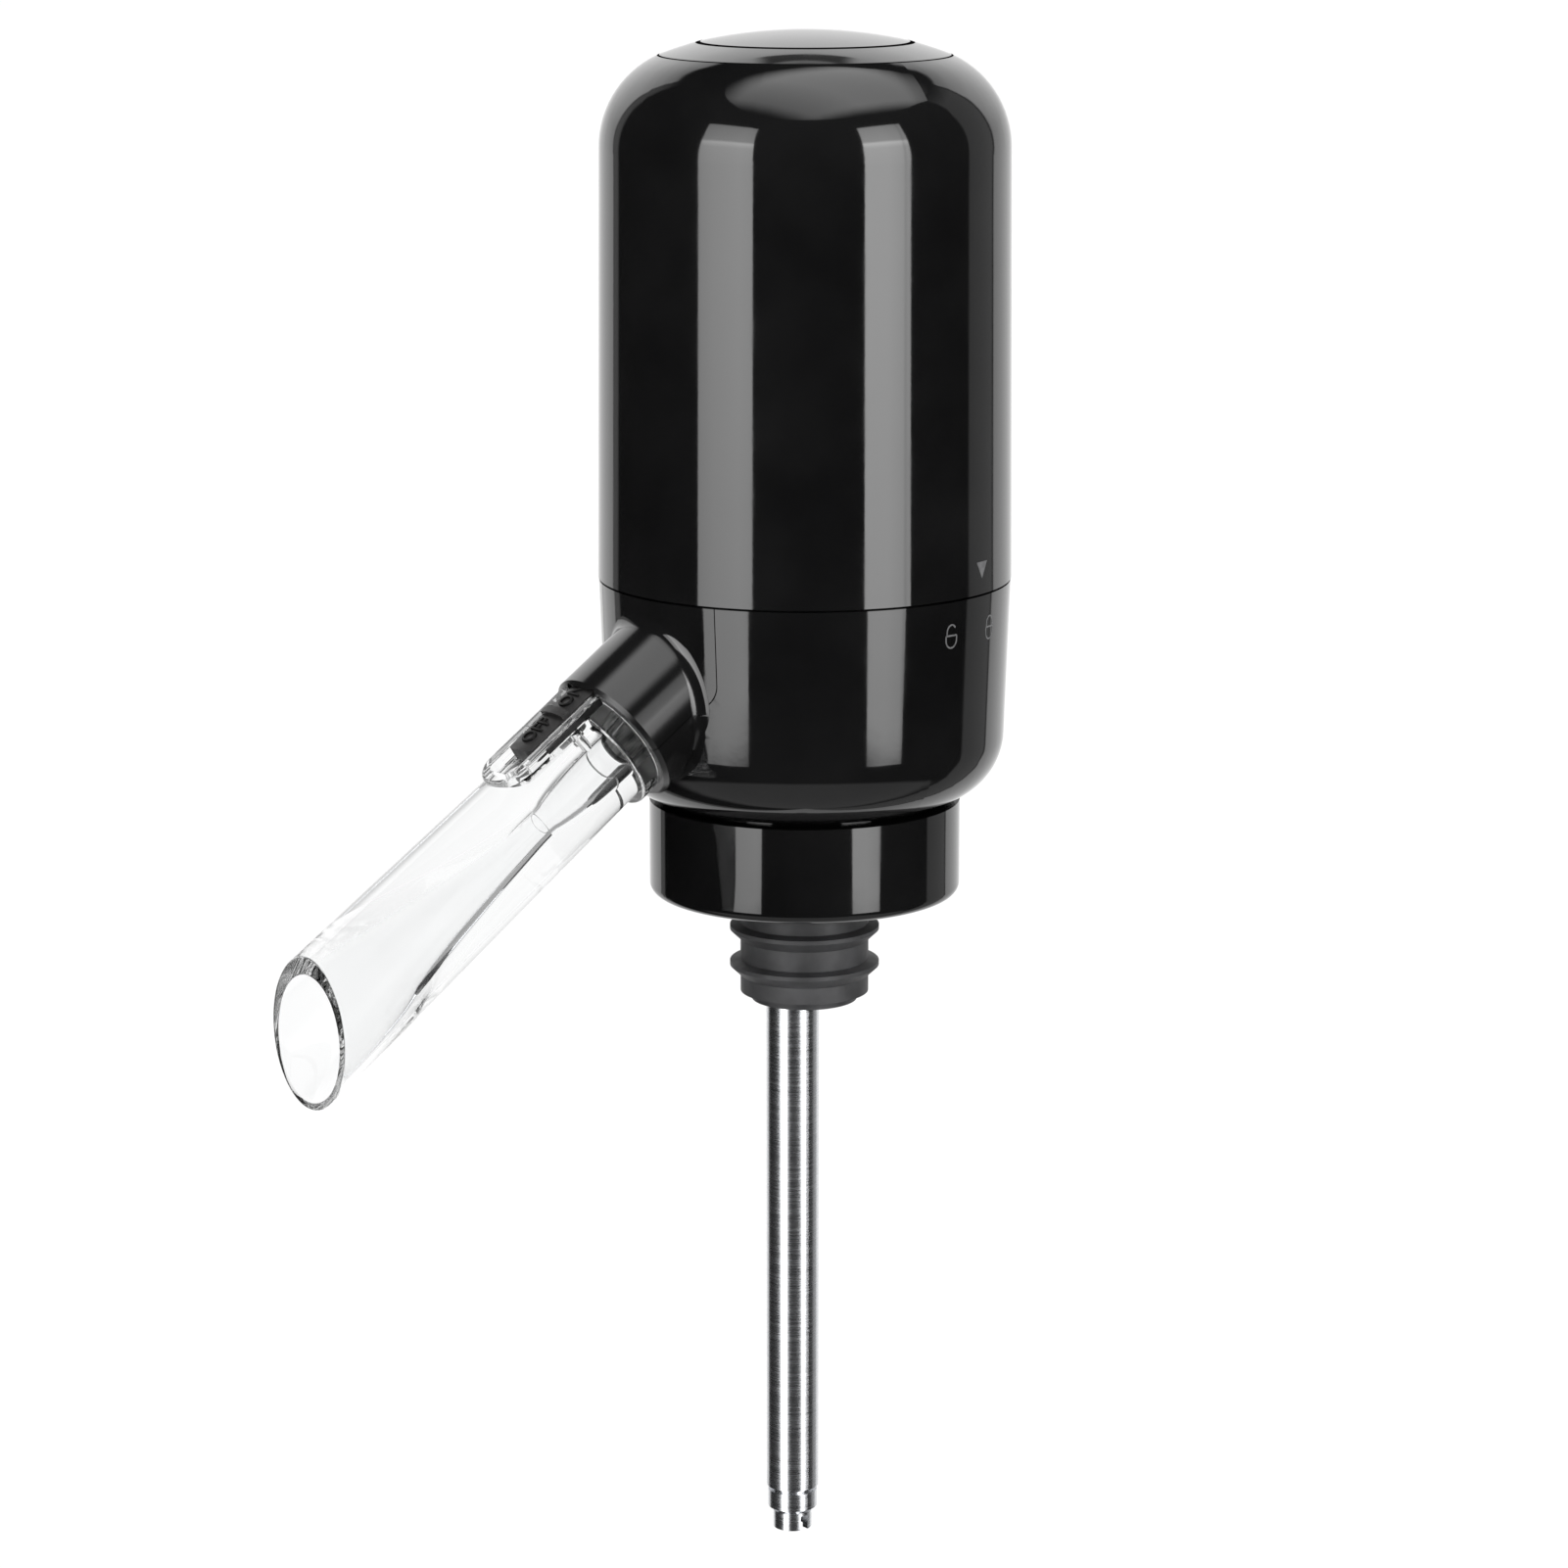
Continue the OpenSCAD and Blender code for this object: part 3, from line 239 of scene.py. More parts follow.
# colour and rough give low, high and scale; bump gives scale and depth;
# stretch is for these three; even values go straight to their sockets
finishSet = {
    "blackGloss": {
        "colour": ((0.0024, 0.0024, 0.0025), (0.0042, 0.0042, 0.0043), 60),
        "rough": (0.035, 0.075, 140),
        "bump": (700, 0.000004),
        "even": {"IOR": 1.52},
    },
    "darkPlastic": {
        "colour": ((0.016, 0.016, 0.018), (0.03, 0.03, 0.032), 300),
        "rough": (0.42, 0.56, 500),
        "bump": (2200, 0.00003),
    },
    "whitePlastic": {
        "colour": ((0.66, 0.66, 0.63), (0.76, 0.76, 0.73), 120),
        "rough": (0.4, 0.52, 400),
        "bump": (1800, 0.00002),
    },
    "softSilicone": {
        "colour": ((0.018, 0.018, 0.019), (0.032, 0.032, 0.034), 220),
        "rough": (0.55, 0.7, 500),
        "bump": (2600, 0.00002),
    },
    "sliderGrey": {
        "colour": ((0.0075, 0.007, 0.007), (0.0115, 0.0107, 0.0107), 700),
        "rough": (0.42, 0.55, 900),
        "bump": (4200, 0.00003),
    },
    "wordDark": {
        "colour": ((0.0025, 0.0024, 0.0024), (0.005, 0.0048, 0.0048), 900),
        "rough": (0.3, 0.42, 900),
        "bump": (4200, 0.00002),
        "even": {"Specular IOR Level": 0.08},
    },
    "springSteel": {
        "colour": ((0.48, 0.49, 0.5), (0.66, 0.67, 0.68), 250),
        "rough": (0.18, 0.3, 600),
        "bump": (1500, 0.000008),
        "even": {"Metallic": 1},
    },
    "motorCan": {
        "colour": ((0.42, 0.43, 0.45), (0.58, 0.59, 0.61), 90),
        "rough": (0.24, 0.36, 500),
        "bump": (900, 0.00001),
        "even": {"Metallic": 1},
    },
    "leadWire": {
        "colour": ((0.02, 0.018, 0.018), (0.05, 0.04, 0.04), 150),
        "rough": (0.35, 0.5, 500),
        "bump": (1500, 0.00001),
    },
    "cellSleeve": {
        "colour": ((0.13, 0.17, 0.045), (0.2, 0.25, 0.07), 80),
        "rough": (0.2, 0.3, 300),
        "bump": (900, 0.000008),
    },
    "boardGreen": {
        "colour": ((0.012, 0.075, 0.032), (0.025, 0.13, 0.055), 160),
        "rough": (0.3, 0.45, 260),
        "bump": (800, 0.00001),
    },
    "printInk": {
        "colour": ((0.06, 0.06, 0.062), (0.09, 0.09, 0.092), 1500),
        "rough": (0.4, 0.55, 2000),
        "bump": (4000, 0.000004),
    },
    # fine lines round the tube, left by drawing and polishing
    "tubeSteel": {
        "colour": ((0.58, 0.59, 0.61), (0.64, 0.65, 0.67), 400),
        "rough": (0.22, 0.3, 900),
        "bump": (1800, 0.000002),
        "bumpStrength": 0.2,
        "stretch": ((0.15, 0.15, 6), (0.1, 0.1, 8), (0.1, 0.1, 6)),
        "even": {"Metallic": 1},
    },
    "clearAcrylic": {
        "colour": ((0.962, 0.967, 0.968), (0.978, 0.982, 0.983), 90),
        "rough": (0, 0.012, 300),
        "even": {"Transmission Weight": 1, "IOR": 1.49},
    },
}


def makeFinish(name, s):
    material, tree, shader = newMaterial(name)
    byColour, byRough, byBump = s.get("stretch", (plainStretch,) * 3)
    shade(tree, shader, *s["colour"], byColour)
    roughen(tree, shader, *s["rough"], byRough)
    if "bump" in s:
        strength = s.get("bumpStrength", grainSet["bumpStrength"])
        emboss(tree, shader, *s["bump"], strength, byBump)
    for socket, value in s.get("even", {}).items():
        shader.inputs[socket].default_value = value
    return material


finishes = {name: makeFinish(name, values) for name, values in finishSet.items()}

bossSet = {  # places in metres, each from none of it to all of it
    "radius": (0.0104, 0.0097),
    "start": (0.026, 0.0275),
    "rim": (0.03755, 0.03765),
    "satin": 0.15,
    "matt": 0.24,
    "bore": (0.0088, 0.0086),
    "boreEnd": (0.0376, 0.0375),
    # painted light on the seat inside the boss, from dark to light grey
    "boreLightColour": ((0.16, 0.16, 0.16), (0.78, 0.78, 0.77)),
    "boreLightGrain": (420, 2),  # scale, detail
}


def satinBoss(s):
    # the boss is finished satin and its rim matt, by their place round the spout's axis
    tree = finishes["blackGloss"].node_tree
    shader = tree.nodes["Principled BSDF"]
    place = tree.nodes.new("ShaderNodeTexCoord")
    x, y, z = splitPlace(tree, place.outputs["Object"])
    z = minus(tree, z, spoutRoot.z)
    c, t = math.cos(slope), math.sin(slope)
    u = plus(tree, times(tree, y, -c), times(tree, z, -t))
    v = plus(tree, times(tree, y, -t), times(tree, z, c))
    r = radiusOf(tree, x, v)
    past = softStep(tree, u, *s["start"])
    share = times(tree, softStep(tree, r, *s["radius"]), past)
    rim = times(tree, share, softStep(tree, u, *s["rim"]))
    plain = shader.inputs["Roughness"].links[0].from_socket
    rough = mathNode(tree, "MAXIMUM", plain, times(tree, share, s["satin"]))
    rough = mathNode(tree, "MAXIMUM", rough, times(tree, rim, s["matt"]))
    tree.links.new(rough, shader.inputs["Roughness"])
    # painted light: the seat inside the black boss is coloured grey, from dark to light, to stand in
    # for the light reflected from it, seen through the clear ring
    paintedLight = times(tree, softStep(tree, r, *s["bore"]), past)
    paintedLight = times(tree, paintedLight, softStep(tree, u, *s["boreEnd"]))
    paintedGlow = ramp(tree, noise(tree, *s["boreLightGrain"]), *s["boreLightColour"])
    mix = tree.nodes.new("ShaderNodeMixRGB")
    tree.links.new(paintedLight, mix.inputs["Fac"])
    tree.links.new(shader.inputs["Base Color"].links[0].from_socket, mix.inputs["Color1"])
    tree.links.new(paintedGlow, mix.inputs["Color2"])
    tree.links.new(mix.outputs[0], shader.inputs["Base Color"])


satinBoss(bossSet)

seamSet = {  # in metres
    "gaps": {  # radius, from inside and from outside
        "button": ((0.01332, 0.01342), (0.01412, 0.01404)),
        "bezel": ((0.01862, 0.0187), (0.01898, 0.0189)),
    },
    "height": (0.0985, 0.099),
    "gloss": 0.5,
}


def darkSeam(s):
    # the gaps round the button and round its bezel each show as one dark line
    tree = finishes["blackGloss"].node_tree
    shader = tree.nodes["Principled BSDF"]
    place = tree.nodes.new("ShaderNodeTexCoord")
    x, y, z = splitPlace(tree, place.outputs["Object"])
    r = radiusOf(tree, x, y)
    share = 0
    for inside, outside in s["gaps"].values():
        line = times(tree, softStep(tree, r, *inside), softStep(tree, r, *outside))
        share = mathNode(tree, "MAXIMUM", share, line)
    share = times(tree, share, softStep(tree, z, *s["height"]))
    gloss = times(tree, minus(tree, 1, share), s["gloss"])
    tree.links.new(gloss, shader.inputs["Specular IOR Level"])


darkSeam(seamSet)

slotFinish = {
    "black_gloss": "blackGloss",
    "dark_plastic": "darkPlastic",
    "white_plastic": "whitePlastic",
    "silicone": "softSilicone",
    "clear_acrylic": "clearAcrylic",
    "slider_grey": "sliderGrey",
    "spring_steel": "springSteel",
    "motor_can": "motorCan",
    "lead_wire": "leadWire",
    "cell_wrap": "cellSleeve",
    "board_green": "boardGreen",
    "tube_steel": "tubeSteel",
}


def dressNodes():
    for part in frame["record"]["subparts"]:
        piece = nodes[part["node"]]
        piece.data.materials.clear()
        piece.data.materials.append(finishes[slotFinish[part["material_slot"]]])


edgeSet = {
    "widths": {"power_button": 0.3, "top_bezel": 0.15},  # mm
    "segments": 3,
    "angle": 50,
}


def softenEdges(s):
    for name, width in s["widths"].items():
        bevel = nodes[name].modifiers.new("softEdge", "BEVEL")
        bevel.width = width * mm
        bevel.segments = s["segments"]
        bevel.limit_method = "ANGLE"
        bevel.angle_limit = math.radians(s["angle"])


dressNodes()
softenEdges(edgeSet)
print("finishes ready")

# studio

studioSet = {
    "floorSize": 60,
    "floorDrop": 0.168,  # the dip tube has room to draw right out
    "floorColour": (0.94, 0.94, 0.938),
    "floorFleck": 0.985,  # share of the colour in the darker flecks
    "floorGrain": 3,
    "floorRough": 0.8,
    "floorSpecular": 0.2,
    "pale": 1.13,  # air around, as the camera and matt surfaces see it
    "dark": 0.012,  # unlit room, as gloss mirrors it
    "through": {  # air seen through clear pieces; rise and steep in degrees
        "pale": 1.05,
        "dark": 0.4,
        "side": (0.85, 0.55),
        "rise": (22, 34),
        "steep": (76, 64),
    },
    "patch": {  # dark middle near the backdrop's top, in degrees
        "half": 6.5,
        "soft": 1.5,
        "start": (37.9, 38.6),
        "end": (43.2, 42.5),
        "share": 0.88,
    },
    # turn of the middle from the camera, half width, soft side, glow by rise in degrees
    "bands": [
        (177.6, 49.4, 0.025, [
            (-90, 1.12), (-2, 1.08), (6, 1.05), (16, 1.36),
            (26, 1.6), (36, 1.5), (43, 1.07), (44.5, 0),
        ]),
        (115.4, 13.6, 0.01, [(-90, 0.39), (36, 0.39), (46, 0)]),
        (229.6, 4.6, 0.003, [(-90, 0.36), (36, 0.36), (46, 0)]),
        (0, 105, 0.3, [(-41, 0.44), (-37, 0)]),
    ],
    # turn from the camera in degrees, distance, height of the middle, width, height, power, soft share
    "lights": {
        "leftStrip": (-44.3, 0.85, 0.217, 0.5, 0.905, 8.4, 0.03),
        "rightStrip": (46.0, 0.85, 0.217, 0.42, 0.905, 8.8, 0.03),
        "saddleStrip": (46.0, 0.85, 0.217, 0.42, 0.905, 3.6, 0.03),
        "leftLow": (-38, 0.85, -0.5, 0.55, 0.9, 7, 0.3),
        "rightLow": (50, 0.85, -0.5, 0.3, 0.9, 4, 0.3),
    },
    "topLight": (48, 0.17, 1.05, 1.75, 1.35, 17, 0.22),
    "topAim": 0.05,  # height that the top light faces
    # all that the low lights reach
    "lowLit": ["dip_tube_upper", "dip_tube_middle", "dip_tube_lower", "bottle_stopper"],
    "stripGlow": [  # from foot to top
        (0, 0.62), (0.11, 0.72), (0.26, 0.9), (0.55, 0.98),
        (0.63, 1.3), (0.67, 0.72), (0.9, 0.6), (1, 0.5),
    ],
    "stripTaper": [(0, 0.76), (0.07, 0.84), (0.13, 1), (1, 1)],  # width from foot to top
    "across": {  # glow from side to side
        "leftStrip": [(0, 0.8), (0.3, 0.95), (0.75, 1.06), (1, 1)],
        "rightStrip": [(0, 1.05), (0.5, 1.03), (0.82, 0.9), (0.86, 0.7), (0.92, 0.82), (1, 0.78)],
        "topLight": [(0, 0.4), (0.5, 1), (1, 0.75)],
    },
    "even": [(0, 1), (1, 1)],
    "bounces": 40,  # light has many turns inside the clear spout
}


def dimEdges(data, soft, across, upward, taper):
    # lets the light fade toward its edges, and change across and upward, as a diffuser does
    data.use_nodes = True
    tree = data.node_tree
    shape = tree.nodes.new("ShaderNodeNewGeometry")
    sides = splitPlace(tree, shape.outputs["Parametric"])
    share = 1
    for side, width in zip(sides, (glowRamp(tree, sides[1], taper), 1)):
        off = mathNode(tree, "ABSOLUTE", minus(tree, side, 0.5))
        fade = softStep(tree, mathNode(tree, "DIVIDE", off, width), 0.5, 0.5 - soft)
        share = times(tree, share, fade)
    for side, glow in zip(sides, (across, upward)):
        share = times(tree, share, glowRamp(tree, side, glow))
    tree.links.new(share, tree.nodes["Emission"].inputs["Strength"])


def makeLight(name, values, toCamera, aim, glow):
    turn, distance, height, width, tall, power, soft = values
    data = bpy.data.lights.new(name, "AREA")
    data.shape = "RECTANGLE"
    data.size = width
    data.size_y = tall
    data.energy = power
    light = newObject(name, data)
    angle = toCamera + math.radians(turn)
    place = Vector((distance * math.cos(angle), distance * math.sin(angle), height))
    light.location = place
    light.rotation_mode = "QUATERNION"
    light.rotation_quaternion = (Vector((0, 0, aim)) - place).to_track_quat("-Z", "Y")
    light.visible_camera = False
    dimEdges(data, soft, *glow)
    return light


def makeLights(s, toCamera):
    lights = []
    even = s["even"]
    for name, values in s["lights"].items():
        low = name.endswith("Low")
        upward, taper = (even, even) if low else (s["stripGlow"], s["stripTaper"])
        glow = (s["across"].get(name, even), upward, taper)
        height = values[2]
        lights.append(makeLight(name, values, toCamera, height, glow))
    glow = (s["across"]["topLight"], even, even)
    top = makeLight("topLight", s["topLight"], toCamera, s["topAim"], glow)
    top.data.shape = "ELLIPSE"
    return lights + [top]


def roomGlow(tree, s, toCamera, rise, facing):
    # a dark room with a pale backdrop and table, and a dark patch in the backdrop
    glow = s["dark"]
    turned = plus(tree, mathNode(tree, "DIVIDE", rise, 180), 0.5)
    for turn, half, soft, profile in s["bands"]:
        edge = math.cos(math.radians(half))
        share = softStep(tree, facing(toCamera + math.radians(turn)), edge, edge + soft)
        stops = [(spot / 180 + 0.5, strength) for spot, strength in profile]
        glow = mathNode(tree, "MAXIMUM", glow, times(tree, share, glowRamp(tree, turned, stops)))
    patch = s["patch"]
    near = [math.cos(math.radians(patch["half"] + side * patch["soft"])) for side in (1, -1)]
    hidden = softStep(tree, facing(toCamera + math.pi), *near)
    for ends in (patch["start"], patch["end"]):
        hidden = times(tree, hidden, softStep(tree, rise, *ends))
    return times(tree, glow, minus(tree, 1, times(tree, hidden, patch["share"])))


def clearGlow(tree, s, path, rise, level):
    # clear pieces bend or mirror their edges toward the darker corners of the room
    steep = mathNode(tree, "ABSOLUTE", rise)
    corner = softStep(tree, mathNode(tree, "ABSOLUTE", level), *s["side"])
    corner = times(tree, corner, softStep(tree, steep, *s["steep"]))
    mirrored = mathNode(tree, "MINIMUM", path["Glossy Depth"], 1)
    mirrored = mathNode(tree, "MAXIMUM", mirrored, softStep(tree, steep, *s["rise"]))
    corner = times(tree, corner, mirrored)
    return minus(tree, s["pale"], times(tree, corner, s["pale"] - s["dark"]))


def makeAir(s, toCamera):
    # gloss mirrors the room; everything else sees pale air
    world = bpy.data.worlds.new("studioAir")
    bpy.context.scene.world = world
    world.use_nodes = True
    tree = world.node_tree
    tree.nodes.clear()
    place = tree.nodes.new("ShaderNodeTexCoord")
    x, y, z = splitPlace(tree, place.outputs["Generated"])
    rise = times(tree, mathNode(tree, "ARCSINE", z), 180 / math.pi)
    flat = mathNode(tree, "SQRT", minus(tree, 1, times(tree, z, z)))
    flat = mathNode(tree, "MAXIMUM", flat, tiny)

    def facing(angle):
        ahead = plus(tree, times(tree, x, math.cos(angle)), times(tree, y, math.sin(angle)))
        return mathNode(tree, "DIVIDE", ahead, flat)

    path = tree.nodes.new("ShaderNodeLightPath").outputs
    inside = mathNode(tree, "MINIMUM", path["Transmission Depth"], 1)
    seen = clearGlow(tree, s["through"], path, rise, facing(toCamera + math.pi))
    pale = plus(tree, times(tree, inside, minus(tree, seen, s["pale"])), s["pale"])
    room = roomGlow(tree, s, toCamera, rise, facing)
    mix = tree.nodes.new("ShaderNodeMixShader")
    gloss = times(tree, path["Is Glossy Ray"], minus(tree, 1, inside))
    tree.links.new(gloss, mix.inputs[0])
    for strength, socket in zip((pale, room), mix.inputs[1:]):
        air = tree.nodes.new("ShaderNodeBackground")
        air.inputs["Color"].default_value = (1, 1, 1, 1)
        tree.links.new(strength, air.inputs["Strength"])
        tree.links.new(air.outputs[0], socket)
    out = tree.nodes.new("ShaderNodeOutputWorld")
    tree.links.new(mix.outputs[0], out.inputs["Surface"])


def makeFloor(s):
    half = s["floorSize"] / 2
    low = cadLow.z - s["floorDrop"]
    corners = [(x * half, y * half, low) for x, y in ((-1, -1), (1, -1), (1, 1), (-1, 1))]
    mesh = bpy.data.meshes.new("floor")
    mesh.from_pydata(corners, [], [(0, 1, 2, 3)])
    floor = newObject("floor", mesh)
    floor.visible_glossy = False
    floor.visible_transmission = False
    paint, tree, shader = newMaterial("palePaper")
    flecks = tuple(c * s["floorFleck"] for c in s["floorColour"])
    shade(tree, shader, flecks, s["floorColour"], s["floorGrain"])
    shader.inputs["Roughness"].default_value = s["floorRough"]
    shader.inputs["Specular IOR Level"].default_value = s["floorSpecular"]
    mesh.materials.append(paint)
    return floor


def makeStudio(s):
    toCamera = math.atan2(cameraSet["place"][1], cameraSet["place"][0])
    lights = makeLights(s, toCamera)
    makeAir(s, toCamera)
    scene = bpy.context.scene
    scene.view_settings.view_transform = "Standard"
    scene.cycles.max_bounces = s["bounces"]
    scene.cycles.transmission_bounces = s["bounces"]
    scene.cycles.glossy_bounces = s["bounces"]
    return makeFloor(s), lights


def aimLights(lights, airLit, lowLit):
    # the floor and the clear spout take their light from the air alone
    # the saddle has its own right strip
    saddle = nodes["spout_saddle"]
    kept = {}
    for name, pieces, state in (
        ("plain", airLit, "EXCLUDE"),
        ("Low", [nodes[name] for name in lowLit], "INCLUDE"),
        ("saddleStrip", [saddle], "INCLUDE"),
        ("rightStrip", airLit + [saddle], "EXCLUDE"),
    ):
        kept[name] = bpy.data.collections.new(name + "Reach")
        for piece in pieces:
            kept[name].objects.link(piece)
        for link in kept[name].collection_objects:
            link.light_linking.link_state = state
    for light in lights:
        reach = "Low" if light.name.endswith("Low") else light.name
        light.light_linking.receiver_collection = kept.get(reach, kept["plain"])


floor, lights = makeStudio(studioSet)
print("studio ready")

# meshes

def newPiece(name, mesh, finish):
    piece = newObject(name, mesh)
    mesh.materials.clear()
    mesh.materials.append(finish)
    return piece


def faceOutward(mesh, fill=False):
    bm = bmesh.new()
    bm.from_mesh(mesh)
    if fill:
        bmesh.ops.holes_fill(bm, edges=bm.edges)
    bmesh.ops.recalc_face_normals(bm, faces=bm.faces)
    bm.to_mesh(mesh)
    bm.free()


def newMesh(name, points, faces):
    mesh = bpy.data.meshes.new(name)
    mesh.from_pydata(points, [], faces)
    faceOutward(mesh)
    return mesh


def ringFaces(rowCount, count, closed):
    # quads between rows of points that each run round; closed joins the last row to the first
    faces = []
    for i in range(rowCount if closed else rowCount - 1):
        a, b = i * count, (i + 1) % rowCount * count
        for j in range(count):
            k = (j + 1) % count
            faces.append((a + j, a + k, b + k, b + j))
    return faces


def meshFromRows(name, rows, closed):
    points = [p for row in rows for p in row]
    return newMesh(name, points, ringFaces(len(rows), len(rows[0]), closed))


def smoothSharp(mesh, angle):
    for face in mesh.polygons:
        face.use_smooth = True
    mesh.set_sharp_from_angle(angle=math.radians(angle))


def shapedMesh(piece):
    bpy.context.view_layer.update()
    seen = piece.evaluated_get(bpy.context.evaluated_depsgraph_get())
    return bpy.data.meshes.new_from_object(seen)


def quarter(steps):
    return [math.pi / 2 * i / steps for i in range(steps + 1)]


# clear spout

spoutSet = {
    "segments": 144,
    "sharp": 32,
    "inletU": 25.2,
    "inletR": 2.3,
    "inletSteps": 20,
    "convergeU": 39.0,
    "convergePower": 3,
    "flangeU": 27.1,
    "flangeR": 8.3,
    "tubeR": 7.25,
    "wallSteps": 32,
    "ringU": (37.75, 41.1),
    "ringR": 8.25,
    "ringRound": (0.9, 0.35),  # beside the boss, toward the mouth
    "ringSteps": (4, 8),
    "ringFall": 0.9,
    "mouthReach": 78.3,
    "mouthR": 8.05,
    "mouthBoreR": 6.9,
    "mouthEdge": 0.14,
    "edgeSteps": 4,
    "flareU": 87.66,
    "flareEase": 0.1,
    "flarePower": 1.556,
    "lateFlare": (82, 0.18, 97, 0.03),  # start, its slope, end and its slope
    "boreDrop": (1.0, 57, 0.4, 78),  # to the throat and its end, at the mouth and its start
    "boreSteps": 40,
    "throatU": (52.8, 53.8),
    "throatR": 1.4,
    "throatStep": 0.15,
    "railStart": 0.6,  # from the ring's inner side
    "railHalf": 4.15,
    "railEnd": 55.7,
    "railTop": 8.2,
    "railFoot": 3.6,
    "railRound": 0.4,
    "railSteps": 24,
    "slotHalf": 2.35,
    "slotFloor": 6.6,
    "slotStart": 31.6,
    "slotEnd": 53.9,
    "slotRound": 1.2,
    "slotSteps": 10,
    "lipHalf": 2.8,
    "lipTop": 7.4,
    "lipEnd": 51.4,
    "lipRound": 0.3,
    "lipSteps": 4,
    "channelHalf": 1.55,
    "channelFloor": 5.4,
    "channelU": (42.4, 45.8),
    "channelSteps": 20,
    "airHoleR": 0.7,
    "airHoleSteps": 12,
    "cutPast": (1, 0.02),  # above the rail, into the cut above
}


def spoutRows(s):
    c, t = math.cos(slope), math.sin(slope)
    angles = [2 * math.pi * j / s["segments"] for j in range(s["segments"])]
    edge = s["mouthEdge"]
    throatStart, throatEnd = s["throatU"]

    def plain(u, r, drop=0):
        return [spoutPoint(u, r * math.cos(a), r * math.sin(a) - drop) for a in angles]

    def mouthU(v):
        return (s["mouthReach"] - v * t) / c

    def dropAt(u):
        deep, u0, mouthDrop, u1 = s["boreDrop"]
        k = min(1, max(0, (u - u0) / (u1 - u0)))
        return deep + (mouthDrop - deep) * k * k * (3 - 2 * k)

    def noDrop(u):
        return 0

    def toMouth(u0, share, radius, mouthR, drop):
        row = []
        for a in angles:
            end = mouthU(mouthR * math.sin(a) - drop(s["flareU"])) - edge
            u = u0 + share * (end - u0)
            r = radius(u)
            row.append(spoutPoint(u, r * math.cos(a), r * math.sin(a) - drop(u)))
        return row

    def outerR(u):
        ease = s["flareEase"]
        share = (u - s["ringU"][1]) / (s["flareU"] - s["ringU"][1])
        late = min(2 * ease, max(0, share - 1 + ease))
        share = min(share, 1 - ease) + late - late * late / (4 * ease)
        return s["tubeR"] + (s["mouthR"] - s["tubeR"]) * share

    def innerR(u):
        startR = s["throatR"] + s["throatStep"]
        u0, slope0, u1, slope1 = s["lateFlare"]
        share = (min(u, u0) - throatEnd) / (s["flareU"] - throatEnd)
        r = startR + (s["mouthBoreR"] - startR) * share ** s["flarePower"]
        if u <= u0:
            return r
        k, length = min(1, (u - u0) / (u1 - u0)), u1 - u0
        rise = (k ** 3 - 2 * k * k + k) * slope0 * length + (k ** 3 - k * k) * slope1 * length
        return r + (s["mouthBoreR"] - r) * (3 * k * k - 2 * k ** 3) + rise

    def rim(share, back):
        # a row on the cut face of the mouth, from its outer edge to the bore
        row = []
        for a in angles:
            drop = dropAt(s["flareU"])
            boreR = innerR(mouthU(s["mouthBoreR"] * math.sin(a) - drop) - edge)
            r = s["mouthR"] + share * (boreR - s["mouthR"])
            v = r * math.sin(a) - share * drop
            row.append(spoutPoint(mouthU(v) - back, r * math.cos(a), v))
        return row

    rows = [
        plain(s["inletU"], s["flangeR"]),
        plain(s["flangeU"], s["flangeR"]),
        plain(s["flangeU"], s["tubeR"]),
    ]
    u0, u1 = s["ringU"]
    rows.append(plain(u0, s["tubeR"]))
    near, far = s["ringRound"]
    nearSteps, farSteps = s["ringSteps"]
    for a in quarter(nearSteps):
        rows.append(plain(u0 + near - near * math.cos(a), s["ringR"] - near + near * math.sin(a)))
    for a in quarter(farSteps):
        fall = (far - far * math.cos(a)) * s["ringFall"]
        rows.append(plain(u1 - far + far * math.sin(a), s["ringR"] - fall))
    rows.append(plain(u1, outerR(u1)))
    for i in range(1, s["wallSteps"] + 1):
        rows.append(toMouth(u1, i / s["wallSteps"], outerR, s["mouthR"], noDrop))
    part = edge / (s["mouthR"] - s["mouthBoreR"])
    for a in quarter(s["edgeSteps"])[1:]:
        rows.append(rim(part * (1 - math.cos(a)), edge * (1 - math.sin(a))))
    for a in quarter(s["edgeSteps"])[:-1]:
        rows.append(rim(1 - part * (1 - math.sin(a)), edge * (1 - math.cos(a))))
    for i in range(s["boreSteps"] + 1):
        rows.append(toMouth(throatEnd, 1 - i / s["boreSteps"], innerR, s["mouthBoreR"], dropAt))
    drop = dropAt(throatEnd)
    rows.append(plain(throatEnd, s["throatR"], drop))
    rows.append(plain(throatStart, s["throatR"], drop))
    for i in range(1, s["inletSteps"] + 1):
        share = i / s["inletSteps"]
        ease = 1 - (1 - share) ** s["convergePower"]
        u = throatStart + (s["convergeU"] - throatStart) * share
        rows.append(plain(u, s["throatR"] + (s["inletR"] - s["throatR"]) * ease, drop))
    rows.append(plain(s["inletU"], s["inletR"]))
    return rows


def roundedStrip(half, u0, u1, radius, steps):
    # outline of x and u whose outer corners are rounded
    points = [(half, u0)]
    for side, start in ((1, 0), (-1, 90)):
        for i in range(steps + 1):
            a = math.radians(start + 90 * i / steps)
            x = side * (half - radius) + radius * math.cos(a)
            spot = (x, u1 - radius + radius * math.sin(a))
            if (Vector(spot) - Vector(points[-1])).length > tiny:
                points.append(spot)
    points.append((-half, u0))
    return points


def stadium(half, u0, u1, steps):
    points = []
    for middle, start in ((u1, 0), (u0, math.pi)):
        for i in range(steps + 1):
            a = start + math.pi * i / steps
            points.append((half * math.cos(a), middle + half * math.sin(a)))
    return points


